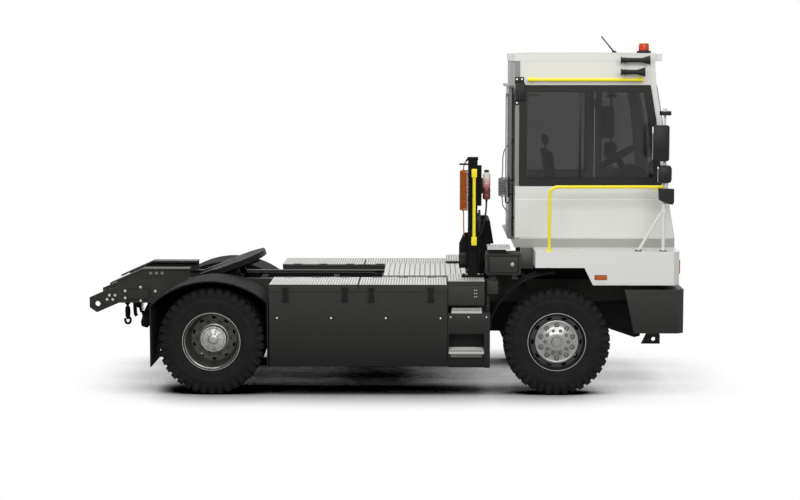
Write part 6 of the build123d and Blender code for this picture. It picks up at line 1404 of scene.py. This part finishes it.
add_tube(work, arm, [0.009, 0.008, 0.006, 0.005], 8)
blade = [(nose_x(z) + 0.0125, 0.515 + 0.10 * (z - 2.720), z) for z in (2.420, 2.570, 2.720, 2.870, 3.000)]
add_tube(work, blade, 0.006, 8)
finished("cab_black_fittings", work, black_abs)
work = bmesh.new()
for x, z in ((1.396, 3.186), (1.448, 3.186), (1.396, 2.946)):
    turn_profile(work, [(0.010, 0), (0.009, 0.004), (0, 0.005)], 14, outward(x, -0.8155, z, (0, -1, 0)))
finished("bracket_bolts", work, zinc)
work = bmesh.new()
add_block(work, (1.555, 1.000, 1.960), (1.665, 1.012, 2.030), 5)
add_tube(work, [(1.570, 1.006, 1.995), (1.575, 1.030, 1.995), (1.640, 1.032, 1.995), (1.650, 1.006, 1.995)],
         0.007, 10)
finished("left_door_handle", work, black_abs, "left_door")
work = bmesh.new()
add_tube(work, [(1.332, -0.485, 1.900), (1.302, -0.485, 1.905), (1.298, -0.485, 2.000),
                (1.302, -0.485, 2.055), (1.326, -0.485, 2.060)], 0.008, 10)
for z in (1.900, 2.060):
    turn_profile(work, [(0.016, 0), (0.014, 0.005), (0.008, 0.006)], 16,
                 outward(1.330, -0.485, z, (-1, 0, 0)))
finished("rear_door_handle", work, black_abs, "rear_door")
work = bmesh.new()
for y in (-0.50, -0.20, 0.10, 0.40, 0.70):
    add_block(work, (1.46, y - 0.045, 3.4485), (2.60, y + 0.045, 3.4565), 5)
finished("roof_ribs", work, cab_white, smooth=30)

# Cab inside. Grey moulded panels on the walls, a ribbed rubber mat and a pale roof lining, clipped to the
# shell. The panels have a sparked grain, the lining is soft and matt, and the mat's ribs run fore and aft.
trim_grey = moulded("grey_abs_trim", "#4A4B4C", "#3E3F40", 0.6, 4.0, 0.25)
lining = moulded("pale_roof_lining", "#8C8C89", "#7C7C79", 0.85, 3.0, 0.4)
work = bmesh.new()
add_block(work, (1.425, -0.748, 1.535), (2.60, -0.742, 2.165), 3)
add_block(work, (1.425, 0.9435, 1.535), (1.485, 0.9475, 3.100), 2)
add_block(work, (1.422, -0.740, 1.535), (1.428, -0.495, 2.130), 2)
add_block(work, (1.422, 0.220, 1.535), (1.428, 0.940, 2.130), 2)
add_block(work, (2.26, -0.735, 1.80), (2.62, -0.45, 2.02), 15)
finished("wall_trim", work, trim_grey, smooth=30)
work = bmesh.new()
add_block(work, (1.425, -0.745, 3.362), (2.740, 0.945, 3.369), 3)
finished("roof_lining", work, lining, smooth=30)
work = bmesh.new()
add_block(work, (1.425, -0.735, 1.5265), (2.690, 0.935, 1.5325), 2)
for n in range(28):
    y = -0.70 + n * 0.058
    add_block(work, (1.44, y, 1.532), (2.675, y + 0.022, 1.5355), 1)
finished("floor_mat", work, flap_rubber, smooth=30)

# Dashboard and steering wheel. A grey moulded dash with an instrument hood; the wheel has a padded rim.
# A drive lever with a round knob stands on a small console beside the driver.
dash_grey = moulded("grey_dash_polypropylene", "#5E5F5F", "#525353", 0.55, 3.0, 0.3)
dress(dash_grey, "dashboard")
WHEEL_AT = outward(2.515, 0.150, 2.345, (-0.5, 0, 0.866))
work = bmesh.new()
ring = [WHEEL_AT @ Vector((0.2105 * cos(2 * pi * n / 64), 0.2105 * sin(2 * pi * n / 64), 0))
        for n in range(65)]
add_tube(work, ring, 0.0196, 14, shut=False)
turn_profile(work, [(0, -0.030), (0.045, -0.026), (0.060, -0.006), (0.056, 0.012), (0.030, 0.019),
                    (0, 0.020)], 32, WHEEL_AT)
for turn in (0, 90, 180, 270):
    add_block(work, (0.040, -0.021, -0.008), (0.205, 0.021, 0.008), 5,
              WHEEL_AT @ Matrix.Rotation(radians(turn), 4, "Z"))
finished("steering_wheel", work, dash_grey)
work = bmesh.new()
hood = [(2.600, 2.155), (2.790, 2.195), (2.790, 2.225), (2.700, 2.262), (2.610, 2.246), (2.592, 2.210)]
add_prism(work, hood, -0.120, 0.420)
for y in (-0.60, -0.46, -0.32):
    add_block(work, (2.612, y - 0.055, 2.155), (2.640, y + 0.055, 2.205), 6)
add_tube(work, [(2.470, -0.230, 1.900), (2.455, -0.230, 2.080), (2.450, -0.230, 2.130)],
         [0.012, 0.010, 0.008], 12)
turn_profile(work, [(0, -0.03), (0.018, -0.026), (0.024, 0), (0.018, 0.026), (0, 0.03)], 20,
             Matrix.Translation((2.449, -0.230, 2.150)))
add_block(work, (2.40, -0.32, 1.533), (2.54, -0.14, 1.905), 12)
finished("dash_hood", work, dash_grey)

# Driver's seat. Foam cushions covered in dark woven cloth on an air-sprung pedestal with a rubber bellows.
# The cushions are swelled as cloth by a short simulation, so that they crown between their edges.
cloth, tree, skin, spot = new_material("dark_woven_seat_cloth")
warp = add_node(tree, "TexWave", {"Vector": spot, "Scale": 1000 / 24.0, "Distortion": 0.6},
                bands_direction="Y")
weft = add_node(tree, "TexWave", {"Vector": spot, "Scale": 1000 / 24.0, "Distortion": 0.6},
                bands_direction="Z")
weave = add_node(tree, "Math", {0: warp.outputs["Fac"], 1: weft.outputs["Fac"]}, operation="MULTIPLY")
fade = add_node(tree, "TexNoise", {"Vector": spot, "Scale": 8.0, "Detail": 5.0})
base = add_node(tree, "Mix", {0: fade.outputs[0], 6: linear("#2B2D31"), 7: linear("#3A3C41")},
                data_type="RGBA")
tone = add_node(tree, "Mix", {0: weave.outputs[0], 6: base.outputs[2], 7: linear("#1B1C1F")},
                data_type="RGBA")
bump = add_node(tree, "Bump", {"Strength": 0.4, "Distance": 0.001, "Height": weave.outputs[0]})
feed(tree, skin, {"Base Color": tone.outputs[2], "Normal": bump.outputs[0], "Roughness": 0.9,
                  "Sheen Weight": 0.3})
LEAN = Matrix.Rotation(radians(-9), 4, "Y")


def pad(name, low, high, at, cap):
    """A foam cushion: a rounded block that is swelled as cloth, with every point's travel capped."""
    work = bmesh.new()
    add_block(work, low, high, 28, at)
    mesh = bpy.data.meshes.new(name)
    work.to_mesh(mesh)
    work.free()
    mesh.materials.append(cloth)
    cushion = place(bpy.data.objects.new(name, mesh))
    remesh = cushion.modifiers.new("even_faces", "REMESH")
    remesh.mode = "VOXEL"
    remesh.voxel_size = 0.011
    view = bpy.context.evaluated_depsgraph_get()
    even = bpy.data.meshes.new_from_object(cushion.evaluated_get(view))
    cushion.modifiers.clear()
    cushion.data = even
    start = [vert.co.copy() for vert in even.vertices]
    swell = cushion.modifiers.new("swell", "CLOTH")
    swell.settings.use_pressure = True
    swell.settings.uniform_pressure_force = 4.0
    swell.settings.effector_weights.gravity = 0.0
    for frame_no in range(1, 21):
        bpy.context.scene.frame_set(frame_no)
    view = bpy.context.evaluated_depsgraph_get()
    blown = bpy.data.meshes.new_from_object(cushion.evaluated_get(view))
    cushion.modifiers.clear()
    cushion.data = blown
    for vert, was in zip(blown.vertices, start):
        travel = vert.co - was
        if travel.length > cap:
            vert.co = was + travel.normalized() * cap
    bpy.context.scene.frame_set(1)
    cushion.data.materials.clear()
    cushion.data.materials.append(cloth)
    cushion.data.shade_smooth()
    smooth = cushion.modifiers.new("smooth", "SUBSURF")
    smooth.levels = 1
    smooth.render_levels = 1
    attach(cushion, "vehicle")
    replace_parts(cushion, "driver_seat")
    return cushion


BACK_AT = Matrix.Translation((1.820, 0.150, 1.935)) @ LEAN
pad("seat_cushion", (1.815, -0.080, 1.838), (2.288, 0.380, 1.908), Matrix(), 0.016)
pad("seat_back", (-0.012, -0.212, 0.02), (0.058, 0.212, 0.500), BACK_AT, 0.016)
pad("seat_headrest", (-0.012, -0.140, 0.545), (0.052, 0.140, 0.660), BACK_AT, 0.012)
for side in (-1, 1):
    pad(f"seat_bolster_{'right' if side < 0 else 'left'}", (1.830, 0.150 + side * 0.205 - 0.028, 1.860),
        (2.270, 0.150 + side * 0.205 + 0.028, 1.918), Matrix(), 0.010)
work = bmesh.new()
add_block(work, (1.800, -0.085, 1.802), (2.300, 0.385, 1.842), 10)
add_block(work, (-0.034, -0.215, 0.000), (-0.010, 0.215, 0.515), 8, BACK_AT)
for y in (-0.06, 0.06):
    add_tube(work, [BACK_AT @ Vector((0.012, y, 0.49)), BACK_AT @ Vector((0.012, y, 0.57))], 0.008, 12)
for y in (-0.085, 0.385):
    add_block(work, (1.79, y - 0.012, 1.85), (1.86, y + 0.012, 1.99), 6)
turn_profile(work, [(0.0, 1.90), (0.026, 1.90), (0.026, 1.912), (0.0, 1.914)], 20,
             Matrix.Translation((2.285, -0.10, -0.07)))
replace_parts(finished("seat_shell", work, dash_grey), "driver_seat")
work = bmesh.new()
levels = [1.5275] + [1.560 + 0.030 * n for n in range(8)] + [1.801]
folds = []
for n, z in enumerate(levels):
    inset = 0.014 if 0 < n < 9 and n % 2 else 0.0
    folds.append([work.verts.new((2.050 + sx * (0.178 - inset), 0.150 + sy * (0.198 - inset), z))
                  for sx, sy in ((-1, -1), (1, -1), (1, 1), (-1, 1))])
for low, high in zip(folds, folds[1:]):
    for n in range(4):
        work.faces.new((low[n - 1], low[n], high[n], high[n - 1]))
work.faces.new(folds[0])
work.faces.new(folds[-1])
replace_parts(finished("seat_bellows", work, flap_rubber, smooth=20), "driver_seat")

# Beacon, aerial and horns. The beacon is a ribbed dome on a rubber foot; the horns are spun trumpets,
# painted black. The aerial is a whip that thins upward and slants back from its rubber foot.
dress(black_abs, "roof_fittings")
work = bmesh.new()
dome = [(0.0505, 3.4745), (0.0512, 3.478), (0.0506, 3.530), (0.047, 3.540), (0.036, 3.5475), (0, 3.5495)]
turn_profile(work, dome, 40, Matrix.Translation((2.705, -0.600, 0)))
for n in range(20):
    spin = Matrix.Translation((2.705, -0.600, 0)) @ Matrix.Rotation(2 * pi * n / 20, 4, "Z")
    add_block(work, (0.0495, -0.0025, 3.482), (0.0522, 0.0025, 3.528), 1, spin)
finished("beacon_dome", work, beacon_lens)
work = bmesh.new()
turn_profile(work, [(0.0735, 3.4505), (0.0740, 3.456), (0.070, 3.464), (0.056, 3.470), (0.054, 3.478),
                    (0.048, 3.478)], 40, Matrix.Translation((2.705, -0.600, 0)))
turn_profile(work, [(0.0225, 3.450), (0.0230, 3.462), (0.016, 3.472), (0.010, 3.476), (0, 3.477)], 24,
             Matrix.Translation((2.411, -0.500, 0)))
mast_line = [Vector((2.411, -0.500, 3.460)).lerp(Vector((2.277, -0.500, 3.623)), t)
             for t in (0, 0.25, 0.5, 1.0)]
add_tube(work, mast_line, [0.0085, 0.0078, 0.0068, 0.0064], 12)
# Horns: height, bell end, tail end.
HORNS = ((3.380, 2.734, 2.441), (3.260, 2.685, 2.443))
for z, bell, tail in HORNS:
    trumpet = [(0, -0.001), (0.0185, 0), (0.0232, 0.004), (0.0232, 0.060), (0.0226, bell - tail - 0.100)]
    trumpet += [(0.0222 + 0.0263 * t ** 2, bell - tail - 0.100 + 0.100 * t)
                for t in (0.2, 0.4, 0.6, 0.8, 1.0)]
    trumpet += [(0.0495, bell - tail + 0.0005), (0.046, bell - tail), (0.030, bell - tail - 0.040),
                (0.012, bell - tail - 0.100), (0, bell - tail - 0.1)]
    turn_profile(work, trumpet, 32, outward(tail, -0.895, z, (1, 0, 0)))
    turn_profile(work, [(0.0222, 0.0), (0.034, 0.001), (0.035, 0.012), (0.0222, 0.018)], 32,
                 outward(tail, -0.895, z, (1, 0, 0)))
    turn_profile(work, [(0.0236, 0.030), (0.0262, 0.032), (0.0262, 0.058), (0.0236, 0.060)], 32,
                 outward(tail, -0.895, z, (1, 0, 0)))
finished("horns_and_feet", work, black_abs)

# Mirrors. Black moulded shells with flat and wide-angle silvered glass that faces the rear.
# The arm is white tube like its post, and each shell is clamped to it twice.
silver = polished("silvered_mirror_glass", "#C4C8CB", 18.0, 5.0, 0.02, 0.12, (0.4, 0.8))
# Heads: rear edge, front edge, bottom, top, inner face and outer face from the arm, rounding in mm.
HEADS = ((-0.129, 0.041, 2.375, 2.735, 0.015, 0.090, 22), (-0.073, 0.070, 2.154, 2.335, 0.015, 0.090, 34),
         (-0.050, 0.060, 2.838, 2.866, -0.070, 0.070, 34))
shells = bmesh.new()
arms = bmesh.new()
glasses = bmesh.new()
for side, x, brace, rise in POSTS:
    y = side * 1.150
    add_tube(arms, [(x, y, 1.925), (x, y, 2.870 + rise)], 0.0130, 20)
    turn_profile(arms, [(0.022, 2.864 + rise), (0.022, 2.898 + rise), (0.018, 2.903 + rise),
                        (0, 2.903 + rise)], 20, Matrix.Translation((x, y, 0)))
    for rear, front, low, high, near, far, round_mm in HEADS:
        y0, y1 = sorted((y + side * near, y + side * far))
        add_block(shells, (x + rear, y0, low + rise), (x + front, y1, high + rise), round_mm)
        if near > 0:
            add_block(glasses, (x + rear - 0.0005, y0 + 0.012, low + rise + 0.016),
                      (x + rear + 0.004, y1 - 0.012, high + rise - 0.016), 1.5)
            middle = (low + high) / 2 + rise
            for z in (middle - 0.020, middle + 0.020):
                turn_profile(shells, [(0.0135, -0.012), (0.019, -0.010), (0.019, 0.010), (0.0135, 0.012)],
                             20, Matrix.Translation((x, y, z)), close=True)
            add_block(shells, (x - 0.014, y, middle - 0.022), (x + 0.014, y + side * 0.024, middle + 0.022),
                      4)
            add_block(shells, (x + rear + 0.030, y + side * (far - 0.0005), low + rise + 0.040),
                      (x + front - 0.030, y + side * (far + 0.0008), high + rise - 0.040), 0.4)
clamp = [(2.806, 2.103), (2.960, 2.095), (2.960, 1.960), (2.945, 1.938), (2.880, 1.952), (2.812, 1.985)]
add_prism(shells, clamp, -1.200, -1.120)
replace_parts(finished("mirror_arms", arms, cab_white), "mirrors")
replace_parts(finished("mirror_shells", shells, black_abs), "mirrors")
finished("mirror_glass", glasses, silver)

# Grab rails. Yellow powder-coated steel tube on flanged stand-offs, with a small ring eye welded to the
# deck rail. A handle of the same tube stands inside the cab, behind the right window.
rail_yellow = powder_coat("yellow_powder_coat", "#F6E830", "#E4D62C", 0.36, 3.0, 1.0, 0.3)
work = bmesh.new()
TUBE = 0.0163
bend = [(1.714 + 0.080 * (1 - cos(a)), -1.190 + 0.0017 * (1 - cos(a)), 2.035 + 0.080 * sin(a))
        for a in [radians(9 * n) for n in range(11)]]
add_tube(work, [(1.714, -1.190, 1.467)] + bend + [(2.849, -1.163, 2.115)], TUBE, 20)
BARS = (((1.507, -0.870, 3.182), (2.673, -0.870, 3.182), 1),
        ((0.962, -1.010, 1.511), (0.962, -1.010, 2.280), 1),
        ((2.440, 1.070, 1.650), (2.440, 1.070, 2.050), -1))
flanges = bmesh.new()
for start, end, toward in BARS:
    run = (Vector(end) - Vector(start)).normalized()
    add_tube(work, [start, end], TUBE, 20)
    for tip, way in ((start, -run), (end, run)):
        turn_profile(work, [(TUBE, 0), (TUBE * 0.8, 0.004), (TUBE * 0.4, 0.006), (0, 0.0065)], 20,
                     outward(*tip, way))
    for foot in (Vector(start) + run * 0.030, Vector(end) - run * 0.030):
        wall = foot + Vector((0, toward * 0.070, 0))
        add_tube(work, [foot, wall], 0.0133, 16)
        turn_profile(flanges, [(0.0135, 0.008), (0.026, 0.007), (0.028, 0.004), (0.028, -0.0005)], 24,
                     outward(*wall, (0, -toward, 0)))
turn_profile(flanges, [(0.0165, 0.012), (0.032, 0.009), (0.034, 0.006), (0.034, -0.0005)], 24,
             Matrix.Translation((1.714, -1.190, 1.467)))
turn_profile(flanges, [(0.0165, -0.014), (0.022, -0.012), (0.022, 0.012), (0.0165, 0.014)], 24,
             outward(2.838, -1.163, 2.115, (1, 0, 0)), close=True)
eye = [(2.776 + 0.014 * sin(2 * pi * n / 16), -1.1655, 2.088 + 0.014 * cos(2 * pi * n / 16))
       for n in range(17)]
add_tube(work, eye, 0.004, 8, shut=False)
for z in (1.510, 2.200):
    add_block(flanges, (0.935, -1.0335, z), (0.989, -1.0255, z + 0.085), 3)
handle = [(1.500, -0.725, 2.200), (1.500, -0.725, 2.990), (1.506, -0.725, 3.012), (1.525, -0.725, 3.024),
          (1.620, -0.725, 3.026)]
inside = bmesh.new()
add_tube(inside, handle, 0.012, 16)
for foot in (handle[0], handle[-1]):
    add_tube(inside, [foot, (foot[0], -0.746, foot[2])], 0.012, 16)
finished("inside_handle", inside, rail_yellow)
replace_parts(finished("rail_tubes", work, rail_yellow), "grab_rails")
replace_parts(finished("rail_flanges", flanges, rail_yellow), "grab_rails")
